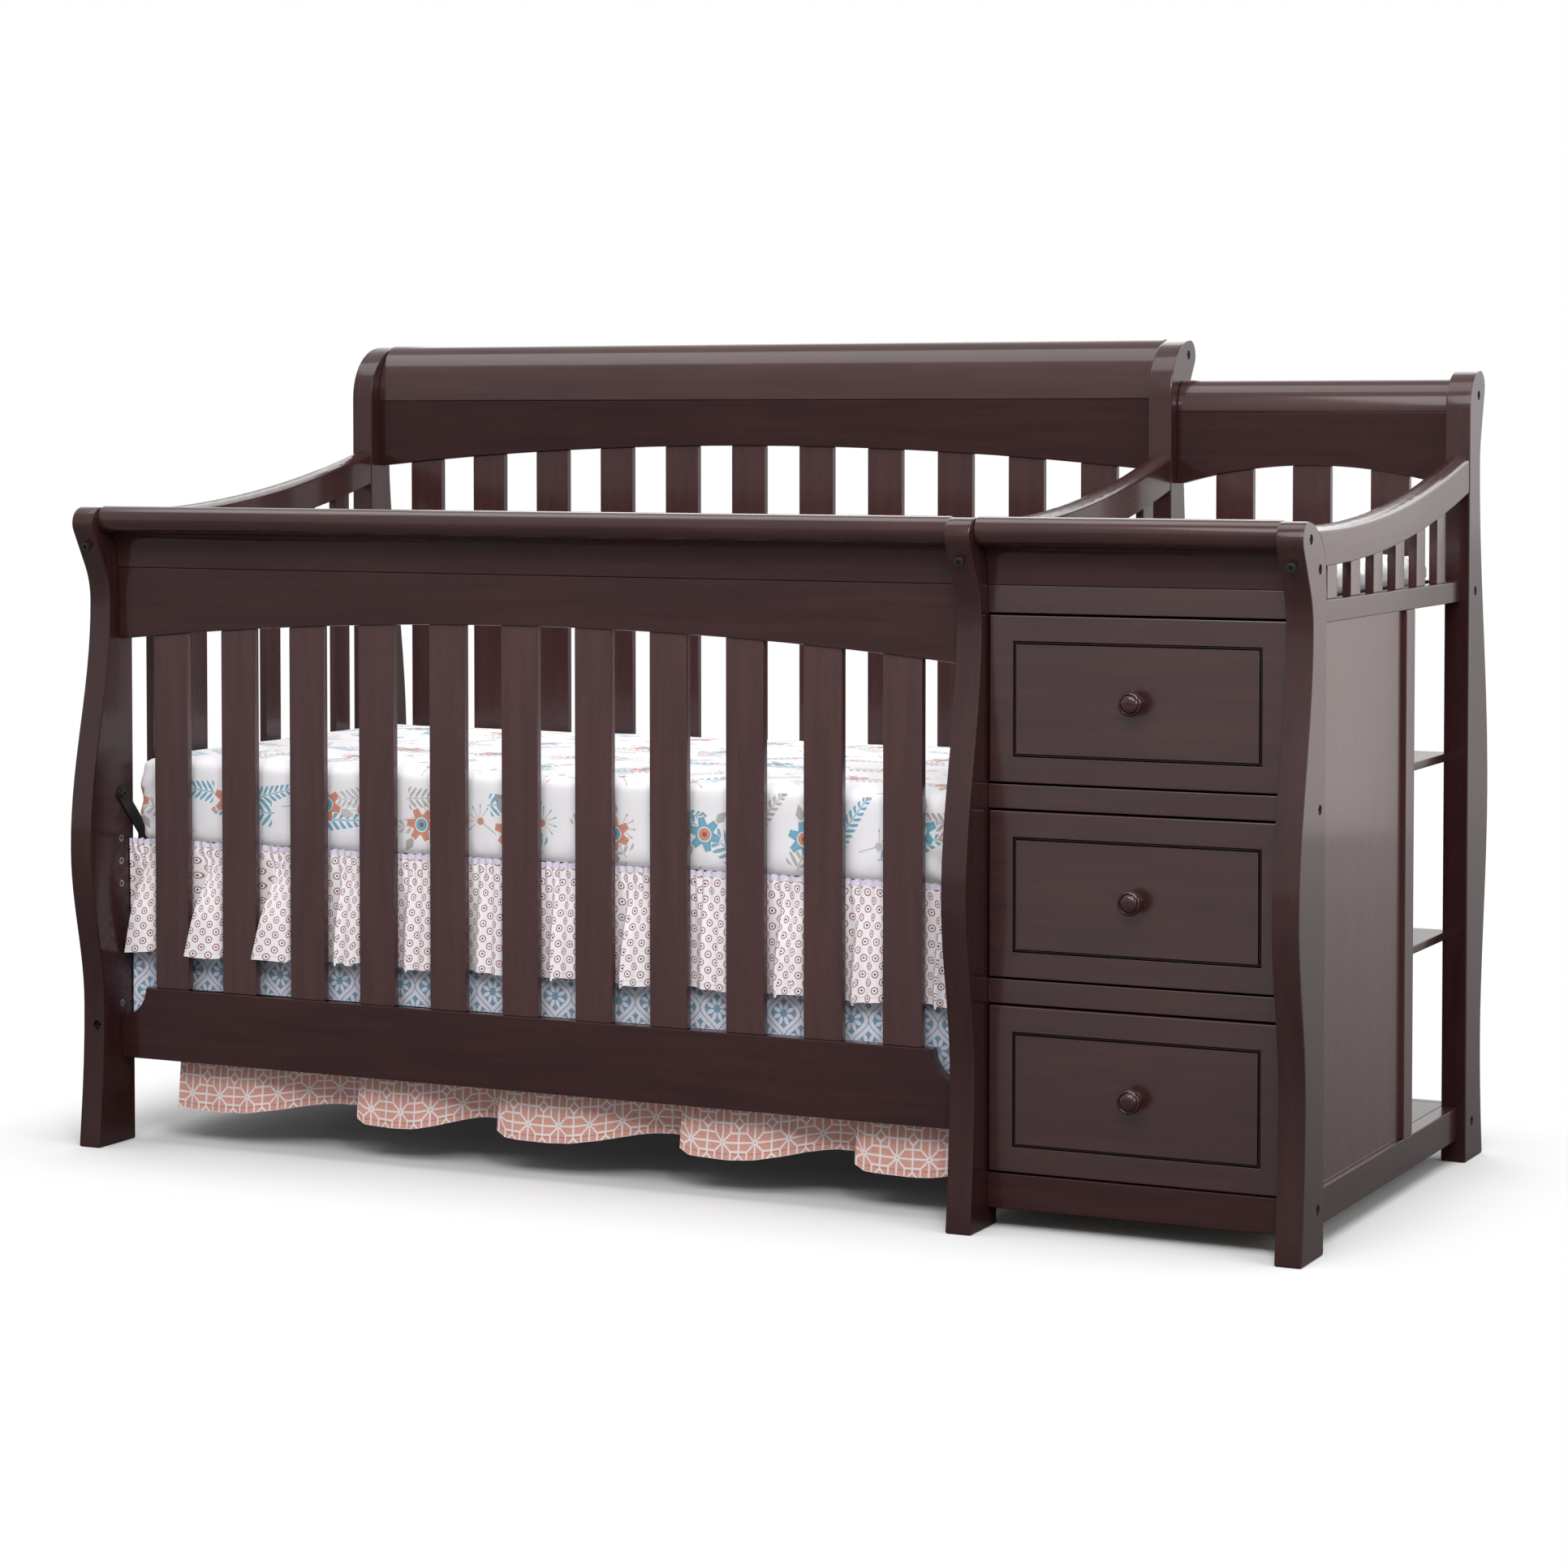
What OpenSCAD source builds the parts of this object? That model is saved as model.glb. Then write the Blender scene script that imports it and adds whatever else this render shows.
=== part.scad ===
// A full-size crib with an attached changer: sleigh-shaped posts, crowned front and back
// panels of flat slats, curved end rails, a three-drawer changer cabinet with open shelves
// behind it, and the crib's mattress, bed skirt and changing pad.
// Millimetres. X runs along the length, Y from front to back, Z up.
// The origin is on the floor under the centre of the whole box.

/* [Crib and changer] */
// Clear length of the crib between its end posts
crib_inner_len = 1330; // [1280:5:1380]
// Clear width of the crib between its front and back rails
crib_inner_wid = 696; // [680:2:720]
// Clear length of the changer between its posts
changer_inner_len = 409; // [380:1:460]

/* [Posts] */
// Thickness of every post board, along X
post_thk = 36; // [32:1:42]
// Height of the three front posts
front_post_h = 928; // [900:1:960]
// How far the crib's back posts stand above the front posts
tall_post_rise = 244; // [212:1:292]
// How far the changer's back post stands above the front posts
changer_post_rise = 196; // [172:1:208]
// Depth of a post at the floor
foot_w = 90; // [84:1:100]
// Depth of a post at its narrow ankle
ankle_w = 76.5; // [72:0.5:80]
// Depth of a post at its belly
belly_w = 106.5; // [102:0.5:112]
// Depth of a post at its neck
neck_w = 55; // [50:0.5:60]
// Reach of the front scroll from the straight edge
front_scroll_reach = 97.5; // [92:0.5:104]
// Reach of the tall back scroll from the straight edge
tall_scroll_reach = 106; // [98:0.5:112]
// Reach of the changer's back scroll from the straight edge
changer_scroll_reach = 78; // [74:0.5:84]
// Radius of every scroll nose
scroll_r = 23; // [20:0.5:25]
// Radius of the hollow under the front scrolls
front_neck_r = 105; // [95:1:115]
// Radius of the hollow under the tall back scrolls
tall_neck_r = 120; // [110:1:130]
// Radius of the hollow under the changer's back scroll
changer_neck_r = 150; // [135:1:165]
// Height of the belly on the front posts
front_belly_z = 435; // [400:5:470]
// Height of the ankle on the front posts
front_ankle_z = 205; // [150:5:240]
// Height of the belly on the back posts
back_belly_z = 522; // [480:5:560]
// Height of the ankle on the back posts
back_ankle_z = 165; // [140:5:220]
// How far the front posts stand into the crib past the front rails
front_lip = 14; // [10:0.5:18]
// How far the back posts stand into the crib past the back rails
back_lip = 22; // [16:0.5:26]

/* [Rails] */
// Thickness of the front and back rails, along Y
rail_thk = 20; // [18:0.5:22]
// Height of the crib's arched and bottom rails
rail_h = 104; // [96:1:112]
// Underside of the crib's bottom rails above the floor
bottom_rail_z = 125; // [110:1:140]
// Rise of the arch under the crib's arched rails
arch_rise = 33.5; // [20:0.5:40]
// Rise of the arch under the changer's arched rail
changer_arch_rise = 27; // [16:0.5:34]
// Level part at each end of an arch
arch_end = 8; // [2:1:20]
// Radius of the scoops at the ends of the bottom rails
scoop_r = 43; // [30:1:50]
// Height of the crib's crown rails
crown_h = 89; // [84:1:96]
// Depth of the crib's crown rails
crown_reach = 72; // [68:0.5:76]
// Radius of the crown's nose
crown_nose_r = 19; // [16:0.5:21]
// How far a crown stands above its posts
crown_rise = 1.5; // [0.5:0.5:4]
// Height of the changer's back crown
small_crown_h = 47; // [44:1:52]
// Depth of the changer's back crown
small_crown_reach = 46; // [42:0.5:52]
// Radius of the small crown's nose
small_crown_nose_r = 15; // [13:0.5:16]
// Drop from the top of the changer's back post to its crown
changer_crown_drop = 12; // [8:1:18]

/* [End frames] */
// Width of a curved end rail, along X
curved_rail_w = 34; // [28:1:36]
// Depth of a curved end rail from its crest to its underside
curved_rail_h = 51; // [44:1:56]
// Drop from the top of a front post to the underside of its curved rail
curved_rail_drop = 57.5; // [54:0.5:62]
// Radius of the curved rail's underside
curved_rail_r = 2750; // [2500:10:3200]
// Height of the crest's rounding on a curved rail
crest_round_h = 7; // [4:0.5:9]
// Thickness of the straight end rails and the stile, along X
end_rail_thk = 24; // [20:0.5:26]
// Thickness of the middle frame's panel
end_panel_thk = 12; // [9:0.5:14]
// Thickness of the panel in the right end
side_panel_thk = 18; // [15:0.5:19]
// Drop from the changer's top board to the underside of its upper end rails
upper_rail_drop = 9; // [6:1:16]
// Height of the changer's upper end rails
upper_rail_h = 29; // [26:1:34]
// Underside of the changer's bottom rails
changer_bottom_z = 32; // [27:1:36]
// Height of the changer's bottom rails
changer_bottom_h = 47; // [42:1:52]
// Front edge of the stile, from the straight edge of the front posts
stile_y = 394; // [380:1:420]
// Width of the stile
stile_w = 40; // [36:1:46]

/* [Slats] */
// Width of a slat in the front and back panels
slat_w = 57; // [50:0.5:62]
// Thickness of every slat
slat_thk = 12; // [10:0.5:13]
// Slats in the crib's front panel, and in its back panel
slat_count = 11; // [11:1:12]
// Slats in the changer's back panel
changer_slat_count = 3; // [3:1:4]
// Width of a slat in the end frames
end_slat_w = 42; // [38:0.5:46]
// Slats in an end frame
end_slat_count = 6; // [6:1:7]
// Depth of a slat's tenon
tenon_len = 8; // [6:0.5:12]
// Shoulder on each side of a tenon
tenon_shoulder = 6; // [4:0.5:8]
// Thickness of a tenon
tenon_thk = 7; // [5:0.5:8]
// Clearance round a tenon in its mortise
mortise_clear = 0.3; // [0.2:0.1:0.6]

/* [Cabinet] */
// Thickness of the changer's top board
changer_top_thk = 15; // [12:0.5:18]
// Drop from the top of the front posts to the underside of the changer's top board
changer_top_drop = 122; // [120:0.5:124]
// Lap of the rail over the top drawer below the top board
top_rail_lap = 2; // [0:0.5:4]
// Height of a divider between drawers
divider_h = 32; // [28:0.5:36]
// Underside of the cabinet's bottom front rail
cabinet_bottom_z = 27.5; // [24:0.5:32]
// Top of the cabinet's bottom front rail
cabinet_bottom_top_z = 74; // [70:0.5:78]
// Thickness of the cabinet's back panel
cabinet_back_thk = 8; // [6:0.5:10]
// Thickness of the rear shelves
shelf_thk = 12; // [10:0.5:16]
// How far a shelf runs out past the end panel into the open bay
shelf_nose = 5; // [2:0.5:8]

/* [Drawers] */
// Gap round each drawer front
drawer_gap = 2.5; // [2:0.25:4]
// Thickness of a drawer front
drawer_front_thk = 18; // [16:0.5:20]
// How far a drawer front stands proud of the rails
drawer_proud = 2; // [0:0.5:4]
// Margin from the front's edge to its groove
groove_margin = 33.5; // [28:0.5:40]
// Width of the groove line
groove_w = 4; // [3:0.5:5]
// Depth of the groove line
groove_depth = 2.5; // [1.5:0.5:4]
// Gap between a drawer box and the cabinet's back panel
drawer_back_gap = 36; // [20:1:60]
// From the lower edge of a drawer front to its box
drawer_box_rise = 20; // [16:1:24]
// From the top of a drawer front to the top of its box
drawer_box_drop = 37; // [26:1:50]
// Thickness of the drawer box boards
drawer_side_thk = 12; // [10:0.5:14]
// Thickness of the drawer bottoms
drawer_floor_thk = 5; // [4:0.5:6]
// Height of a drawer bottom above the lower edge of its box
drawer_floor_rise = 6; // [4:0.5:10]
// Clearance at the glued joints of a drawer box
glue_gap = 0.2; // [0.1:0.05:0.3]
// Space for the runner on each side of a drawer
runner_space = 12.7; // [12.2:0.1:13.2]
// From each end of a drawer box to its runners
runner_end_in = 6; // [2:1:20]
// Height of the fixed member of a runner
runner_h = 36; // [32:0.5:40]
// Thickness of the runner's steel
runner_steel = 1.5; // [1.2:0.1:2]
// Running gap between the two members of a runner
runner_gap = 0.5; // [0.3:0.1:0.8]

/* [Knobs] */
// Diameter of a knob's head
knob_dia = 33; // [28:0.5:38]
// Projection of a knob from the drawer front
knob_len = 29; // [24:0.5:34]
// Diameter of a knob's stem
knob_stem_dia = 15; // [12:0.5:18]
// Diameter of a knob's screw
knob_screw_dia = 4; // [3.5:0.25:5]

/* [Mattress support] */
// Width of the spring frame's angle steel
frame_angle = 25; // [20:1:30]
// Thickness of the angle steel
frame_steel = 2; // [1.5:0.25:3]
// Underside of the spring frame above the floor
frame_z = 412; // [405:1:425]
// Gap between the spring frame and the hangers
frame_end_gap = 5; // [4:0.5:8]
// Gap between the spring frame and the front and back rails
frame_side_gap = 9; // [8:0.5:14]
// Diameter of the support wires
wire_dia = 3; // [2.5:0.25:4]
// Wires across the frame
cross_wires = 9; // [7:1:12]
// Wires along the frame
long_wires = 4; // [3:1:6]
// Clearance at the welds of the frame and its wires
weld_gap = 0.15; // [0.1:0.05:0.3]
// Gap between the spring frame's top and the mattress
deck_space = 1.5; // [1.4:0.1:3]
// Thickness of a hanger
hanger_thk = 3; // [2.5:0.25:4]
// Width of a hanger strap
hanger_w = 20; // [16:0.5:24]
// Height of a hanger's bolt above the floor
hanger_bolt_z = 510; // [495:1:520]
// Height of a hanger's knee above the spring frame's underside
hanger_knee_rise = 40; // [30:1:60]
// From the straight edge of a post to the hanger's upright
hanger_in = 20; // [15:1:30]
// From the straight edge of a post to its line of height holes
hole_set_back = 31; // [25:1:36]
// Vertical pitch of the spare height holes
height_pitch = 33; // [30:1:36]

/* [Fasteners] */
// Diameter of the bolt shanks
bolt_dia = 6.5; // [6:0.25:8]
// Diameter of the bolt heads
bolt_head_dia = 12.5; // [11:0.5:14]
// Height of the bolt heads
bolt_head_h = 6; // [5:0.5:8]
// How deep a bolt head lies below the surface
bolt_recess = 8; // [7:0.5:12]
// Diameter of the barrel nuts and the threaded inserts
nut_dia = 10; // [9:0.5:11]
// Length of the barrel nuts
nut_len = 14; // [12:0.5:16]
// How far into a rail its barrel nut sits
nut_reach = 35; // [30:1:45]
// Clearance round a fastener in its hole
hole_clear = 0.4; // [0.2:0.1:0.8]
// Drop from the top of a front post to its inclined bolt
tilt_bolt_drop = 58; // [54:0.5:64]
// From the tip of a front scroll back to its inclined bolt
tilt_bolt_in = 5.5; // [3:0.5:10]
// Length of the inclined bolts' shanks
tilt_bolt_len = 125; // [115:1:130]

/* [Soft goods] */
// Thickness of the mattress
mattress_thk = 126; // [110:1:140]
// Gap between the mattress and the end posts
mattress_end_gap = 10; // [8:1:20]
// Gap between the mattress and the front and back rails
mattress_side_gap = 3.5; // [3:0.5:8]
// Radius of the mattress edges
mattress_edge_r = 20; // [14:1:28]
// Rise of the mattress crown
mattress_crown = 3; // [1:0.5:8]
// Thickness of the changing pad
pad_thk = 42; // [34:1:44]
// Gap round the changing pad
pad_gap = 5; // [3:0.5:10]
// Radius of the pad's edges
pad_edge_r = 16; // [12:1:18]
// Depth of the dip along the pad
pad_dip = 12; // [6:1:16]
// Hem of the skirt's top tier above the floor
top_tier_z = 283; // [270:1:300]
// Hem of the skirt's middle tier above the floor
middle_tier_z = 150; // [135:1:180]
// Hem of the skirt's bottom tier above the floor
bottom_tier_z = 54; // [45:1:80]
// Pitch of the broad folds at the bottom hem
fold_len = 276; // [200:2:320]
// Depth of the folds at a hem
fold_depth = 14; // [8:1:16]
// Thickness of the gathered cloth
cloth_thk = 3; // [2:0.5:4]

/* [Hidden] */
fine = 96;
big_fn = 1440;
cut = 1; // overrun of a cutting tool past a face
total_len = 3 * post_thk + crib_inner_len + changer_inner_len;
x_left = -total_len / 2; // outer face of the left posts
x_left_in = x_left + post_thk;
x_mid = x_left_in + crib_inner_len; // crib face of the middle posts
x_mid_in = x_mid + post_thk; // changer face of the middle posts
x_right_in = x_mid_in + changer_inner_len;
x_right = x_right_in + post_thk; // outer face of the right posts
front_overhang = max(belly_w, front_scroll_reach) - front_lip;
back_overhang = max(belly_w, tall_scroll_reach) - back_lip;
tall_post_h = front_post_h + tall_post_rise;
changer_post_h = front_post_h + changer_post_rise;
y_front = -(front_overhang + crib_inner_wid + back_overhang) / 2;
y_rail_f = y_front + front_overhang; // inner face of the front rails
y_rail_b = y_rail_f + crib_inner_wid; // inner face of the back rails
y_post_f = y_rail_f + front_lip; // straight edge of the front posts
y_post_b = y_rail_b - back_lip; // straight edge of the back posts
front_crown_z = front_post_h + crown_rise - crown_h;
back_crown_z = tall_post_h + crown_rise - crown_h;
small_crown_z = changer_post_h - changer_crown_drop - small_crown_h;
crown_cove_u = rail_thk + 2.5; // foot of the cove, just proud of the rail
crown_cove_w = 10;
small_cove_u = rail_thk + 1;
small_cove_w = 4;
bottom_rail_top_z = bottom_rail_z + rail_h;
changer_bottom_top_z = changer_bottom_z + changer_bottom_h;
changer_top_z = front_post_h - changer_top_drop;
top_rail_z = changer_top_z - top_rail_lap;
upper_rail_z = changer_top_z - upper_rail_drop;
upper_rail_top_z = upper_rail_z + upper_rail_h;
curved_rail_z = front_post_h - curved_rail_drop;
curve_y = y_post_f; // where the curved rails are level
curve_z = curved_rail_z + curved_rail_r; // centre of their arcs
slat_span = slat_w * slat_count;
slat_gap = (crib_inner_len - slat_span) / (slat_count + 1);
changer_slat_gap = (changer_inner_len - slat_w * changer_slat_count) / (changer_slat_count + 1);
end_span = y_post_b - y_post_f;
end_slat_gap = (end_span - end_slat_w * end_slat_count) / (end_slat_count + 1);
panel_z = changer_bottom_top_z;
panel_h = upper_rail_z - panel_z;
stile_y0 = y_post_f + stile_y;
back_panel_y = stile_y0 + stile_w / 2 - cabinet_back_thk / 2;
bay_y = back_panel_y + cabinet_back_thk;
drawer_pitch = (top_rail_z - cabinet_bottom_top_z + divider_h) / 3;
drawer_opening_h = drawer_pitch - divider_h;
drawer_w = changer_inner_len - 2 * drawer_gap;
drawer_h = drawer_opening_h - 2 * drawer_gap;
drawer_x = (x_mid_in + x_right_in) / 2;
drawer_y = y_rail_f - rail_thk - drawer_proud; // front face of the drawers
box_y = drawer_y + drawer_front_thk;
box_w = changer_inner_len - 2 * runner_space;
drawer_box_h = drawer_h - drawer_box_rise - drawer_box_drop;
runner_rise = drawer_box_rise + 45; // from the front's lower edge to the runner's centre
drawer_box_depth = back_panel_y - drawer_back_gap - box_y;
runner_y = box_y + runner_end_in;
runner_len = drawer_box_depth - 2 * runner_end_in;
mattress_z = frame_z + frame_angle + deck_space;
deck_thk = 1.2;
bolt_line_f = y_rail_f - rail_thk / 2; // bolt line in the front rails
bolt_line_b = y_rail_b + rail_thk / 2;
hole_line = y_post_f - hole_set_back; // spare height holes, front posts
hole_line_b = y_post_b + hole_set_back;
front_hole_z = front_post_h - tilt_bolt_drop; // inclined bolt in the scroll's neck
front_hole_tilt = 18;

wood = [0.20, 0.12, 0.12];
wood_dark = [0.14, 0.08, 0.09];
raw_wood = [0.72, 0.58, 0.42];
steel = [0.62, 0.63, 0.65];
black_steel = [0.10, 0.10, 0.11];
sheet_cloth = [0.93, 0.93, 0.95];
skirt_cloth = [0.88, 0.82, 0.82];

// ---- outlines ----

function arc_pts(c, r, a0, a1, n) =
    [for (i = [0:n]) let (a = a0 + (a1 - a0) * i / n) [c[0] + r * cos(a), c[1] + r * sin(a)]];

// An S-curve from p to q that is upright at both ends
function ease_pts(p, q, n) =
    [for (i = [1:n]) let (t = i / n)
        [p[0] + (q[0] - p[0]) * (1 - cos(180 * t)) / 2, p[1] + (q[1] - p[1]) * t]];

// A post seen from its side: u runs out from the straight edge, w up from the floor.
// lean is the slope of the line that joins the scroll to the neck.
function post_outline(h, reach, belly_z, ankle_z, lean, neck_r) =
    let (
        crest_r = reach - scroll_r,
        nose = [crest_r, h - scroll_r],
        line_u = neck_w + neck_r * (1 - cos(lean)),
        line_top = [nose[0] + scroll_r * cos(lean), nose[1] - scroll_r * sin(lean)],
        line_z = line_top[1] - (line_top[0] - line_u) / tan(lean),
        neck_z = line_z - neck_r * sin(lean)
    )
    concat(
        [[0, 0]],
        arc_pts([crest_r, h - crest_r], crest_r, 180, 90, 12),
        arc_pts(nose, scroll_r, 82, -lean, 10),
        arc_pts([neck_w + neck_r, neck_z], neck_r, 180 - lean, 180, 5),
        ease_pts([neck_w, neck_z], [belly_w, belly_z], 14),
        ease_pts([belly_w, belly_z], [ankle_w, ankle_z], 12),
        [for (i = [1:5]) let (t = 1 - i / 5)
            [foot_w - (foot_w - ankle_w) * sin(90 * t), ankle_z * t]]
    );

front_outline = [for (p = post_outline(front_post_h, front_scroll_reach, front_belly_z,
    front_ankle_z, 28, front_neck_r)) [y_post_f - p[0], p[1]]];
tall_outline = [for (p = post_outline(tall_post_h, tall_scroll_reach, back_belly_z,
    back_ankle_z, 35, tall_neck_r)) [y_post_b + p[0], p[1]]];
changer_outline = [for (p = post_outline(changer_post_h, changer_scroll_reach, back_belly_z,
    back_ankle_z, 15, changer_neck_r)) [y_post_b + p[0], p[1]]];

// A crown rail in section: u runs out from the inner face, w up from its underside
function crown_outline(h, reach, nose_r, cove_u, cove_w) =
    let (
        a = reach - nose_r,
        cove_a = a - 3 - cove_u,
        cove_b = h - 2 * nose_r - cove_w
    )
    concat(
        [for (i = [0:12]) let (t = 90 * i / 12) [a - a * cos(t), h * sin(t)]],
        arc_pts([a, h - nose_r], nose_r, 78, -90, 14),
        [for (i = [0:8]) let (t = 90 - 90 * i / 8)
            [a - 3 - cove_a * cos(t), cove_w + cove_b * sin(t)]],
        [[cove_u, 0]]
    );

crown_section = crown_outline(crown_h, crown_reach, crown_nose_r, crown_cove_u, crown_cove_w);
small_crown_section = crown_outline(small_crown_h, small_crown_reach, small_crown_nose_r,
    small_cove_u, small_cove_w);

// Radius of the arch under a rail of that length, with a short level part at each end
function arch_radius(len, rise) =
    let (half = len / 2 - arch_end) (half * half + rise * rise) / (2 * rise);

// Height of an arch's edge over its ends, at a distance from its middle
function arch_at(len, rise, d) =
    let (r = arch_radius(len, rise)) rise - r + sqrt(r * r - d * d);

// Underside of a curved end rail at y
function curve_at(y) = curve_z - sqrt(curved_rail_r * curved_rail_r - pow(y - curve_y, 2));

// ---- general shapes ----

// Extrudes a (y, z) outline along X from x
module along_x(x, len, pts) {
    translate([x, 0, 0]) rotate([90, 0, 90]) linear_extrude(len) polygon(pts);
}

// A cylinder along X from x0 to x1
module rod_x(x0, x1, y, z, d) {
    translate([x0, y, z]) rotate([0, 90, 0]) cylinder(h = x1 - x0, d = d, $fn = 48);
}

// A cylinder along Y from y0 to y1
module rod_y(x, y0, y1, z, d) {
    translate([x, y0, z]) rotate([-90, 0, 0]) cylinder(h = y1 - y0, d = d, $fn = 48);
}

// A slat with a tenon at each end: w wide along X, its lower end at z0, its upper tenon to z1
module slat_x(x, y, w, z0, z1) {
    translate([x, y, z0]) cube([w, slat_thk, z1 - z0]);
    translate([x + tenon_shoulder, y + (slat_thk - tenon_thk) / 2, z0 - tenon_len])
        cube([w - 2 * tenon_shoulder, tenon_thk, z1 - z0 + 2 * tenon_len]);
}

module slat_y(x, y, w, z0, z1) {
    translate([x, y, z0]) cube([slat_thk, w, z1 - z0]);
    translate([x + (slat_thk - tenon_thk) / 2, y + tenon_shoulder, z0 - tenon_len])
        cube([tenon_thk, w - 2 * tenon_shoulder, z1 - z0 + 2 * tenon_len]);
}

// ---- fasteners: lists of places, used by the bolts and by the holes for them ----

crown_bolt = [y_rail_f - crown_reach + crown_nose_r + 2, front_crown_z + crown_h - crown_nose_r - 5];
cove_bolt = [y_rail_f - 14, front_crown_z + 0.3 * crown_h];
back_crown_bolt = [y_rail_b + crown_reach - crown_nose_r - 2, back_crown_z + crown_h - crown_nose_r - 5];
small_crown_bolt = [y_rail_b + small_crown_reach - small_crown_nose_r - 10, small_crown_z + small_crown_h / 2];
divider_z = [for (i = [1:2]) top_rail_z - i * drawer_pitch + divider_h / 2];
cabinet_bottom_bolt_z = cabinet_bottom_top_z - 12;
bottom_bolt_z = bottom_rail_z + 0.28 * rail_h;
low_bolt_z = bottom_rail_z + rail_h / 2;
back_arch_z = back_crown_z - rail_h;
small_arch_z = small_crown_z - rail_h;
upper_bolt_z = upper_rail_z + upper_rail_h / 2;
changer_bottom_bolt_z = changer_bottom_z + changer_bottom_h / 2;

// Bolts whose heads lie in a post: [face of the head, direction, y, z]
left_bolts = [
    [x_left, 1, crown_bolt[0], crown_bolt[1]],
    [x_left, 1, cove_bolt[0], cove_bolt[1]],
    [x_left, 1, bolt_line_f, bottom_bolt_z],
    [x_left, 1, back_crown_bolt[0], back_crown_bolt[1]],
    [x_left, 1, bolt_line_b, back_arch_z + rail_h / 2],
    [x_left, 1, bolt_line_b, bottom_bolt_z]
];
middle_bolts = [
    [x_mid_in, -1, bolt_line_f, bottom_bolt_z],
    [x_mid_in, -1, back_crown_bolt[0], back_crown_bolt[1]],
    [x_mid_in, -1, bolt_line_b, bottom_bolt_z],
    [x_mid, 1, bolt_line_f, divider_z[0]],
    [x_mid, 1, bolt_line_f, divider_z[1]],
    [x_mid, 1, bolt_line_f, cabinet_bottom_bolt_z],
    [x_mid, 1, bolt_line_b, upper_bolt_z],
    [x_mid, 1, bolt_line_b, changer_bottom_bolt_z]
];
right_bolts = [
    [x_right, -1, crown_bolt[0], crown_bolt[1]],
    [x_right, -1, cove_bolt[0], cove_bolt[1]],
    [x_right, -1, bolt_line_f, divider_z[0]],
    [x_right, -1, bolt_line_f, cabinet_bottom_bolt_z],
    [x_right, -1, small_crown_bolt[0], small_crown_bolt[1]],
    [x_right, -1, bolt_line_b, upper_bolt_z],
    [x_right, -1, bolt_line_b, changer_bottom_bolt_z]
];
// Studs through the middle posts, with a barrel nut in the rail on each side: [y, z]
studs = [
    crown_bolt,
    cove_bolt,
    [bolt_line_f, (top_rail_z + front_crown_z) / 2],
    [bolt_line_b, (small_arch_z + changer_arch_rise + small_crown_z) / 2],
    [bolt_line_b, (small_crown_z + back_crown_z) / 2]
];

// One bolt with its head recessed in a post and its shank in the rail past it
module side_bolt(b, d_shank, d_head, head_h, recess) {
    s = b[1];
    x0 = b[0] + s * (recess - head_h);
    x1 = b[0] + s * recess;
    x2 = b[0] + s * (post_thk + nut_reach);
    rod_x(min(x0, x1), max(x0, x1), b[2], b[3], d_head);
    rod_x(min(x1, x2), max(x1, x2), b[2], b[3], d_shank);
}

module side_bolt_hole(b) {
    s = b[1];
    x_out = b[0] - s * cut;
    x_seat = b[0] + s * bolt_recess;
    x_end = b[0] + s * (post_thk + nut_reach + nut_dia);
    rod_x(min(x_out, x_seat), max(x_out, x_seat), b[2], b[3], bolt_head_dia + 2 * hole_clear);
    rod_x(min(x_seat, x_end), max(x_seat, x_end), b[2], b[3], bolt_dia + 2 * hole_clear);
}

// A barrel nut stands upright in its rail
module nut_at(x, y, z, clear) {
    translate([x, y, z - nut_len / 2 - clear])
        cylinder(h = nut_len + 2 * clear, d = nut_dia + 2 * clear, $fn = 48);
}

module stud_hole(p) {
    rod_x(x_mid - nut_reach - nut_dia, x_mid_in + nut_reach + nut_dia, p[0], p[1],
        bolt_dia + 2 * hole_clear);
}

// Holes for the bolts of one list, and for their nuts
module bolt_holes(list) {
    for (b = list) {
        side_bolt_hole(b);
        nut_at(b[0] + b[1] * (post_thk + nut_reach), b[2], b[3], hole_clear);
    }
}

module stud_holes(list) {
    for (p = list) {
        stud_hole(p);
        nut_at(x_mid - nut_reach, p[0], p[1], hole_clear);
        nut_at(x_mid_in + nut_reach, p[0], p[1], hole_clear);
    }
}

post_centres = [x_left + post_thk / 2, x_mid + post_thk / 2, x_right_in + post_thk / 2];

// Inclined bolts from the front posts into the curved rails
module front_tilt_bolt(x, d_shank, d_head, head_h, recess, extra) {
    translate([x, y_post_f - front_scroll_reach + tilt_bolt_in, front_hole_z]) rotate([-90 + front_hole_tilt, 0, 0]) {
        translate([0, 0, recess - head_h - extra]) cylinder(h = head_h + extra, d = d_head, $fn = 48);
        translate([0, 0, recess]) cylinder(h = tilt_bolt_len, d = d_shank, $fn = 48);
    }
}

// Level bolts from the back posts into the curved rails
back_bolt_z = curve_at(y_post_b) + curved_rail_h / 2;

module back_tie_bolt(x, d_shank, d_head, head_h, y_head) {
    rod_y(x, y_head, y_head + head_h, back_bolt_z, d_head);
    rod_y(x, y_post_b - nut_reach, y_head, back_bolt_z, d_shank);
}

tie_seat_y = y_post_b + neck_w - bolt_recess; // where a tie bolt's head seats

// The low bolt in the left front post, and its twin in the left back post
low_bolt_x = x_left + post_thk - end_rail_thk / 2;
low_seat_f = y_post_f - ankle_w + 12;
low_seat_b = y_post_b + ankle_w - 12;

module low_bolts(d_shank, d_head, head_h, extra) {
    rod_y(low_bolt_x, low_seat_f - head_h - extra, low_seat_f, low_bolt_z, d_head);
    rod_y(low_bolt_x, low_seat_f, y_post_f + nut_reach, low_bolt_z, d_shank);
    rod_y(low_bolt_x, low_seat_b, low_seat_b + head_h + extra, low_bolt_z, d_head);
    rod_y(low_bolt_x, y_post_b - nut_reach, low_seat_b, low_bolt_z, d_shank);
}

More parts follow.
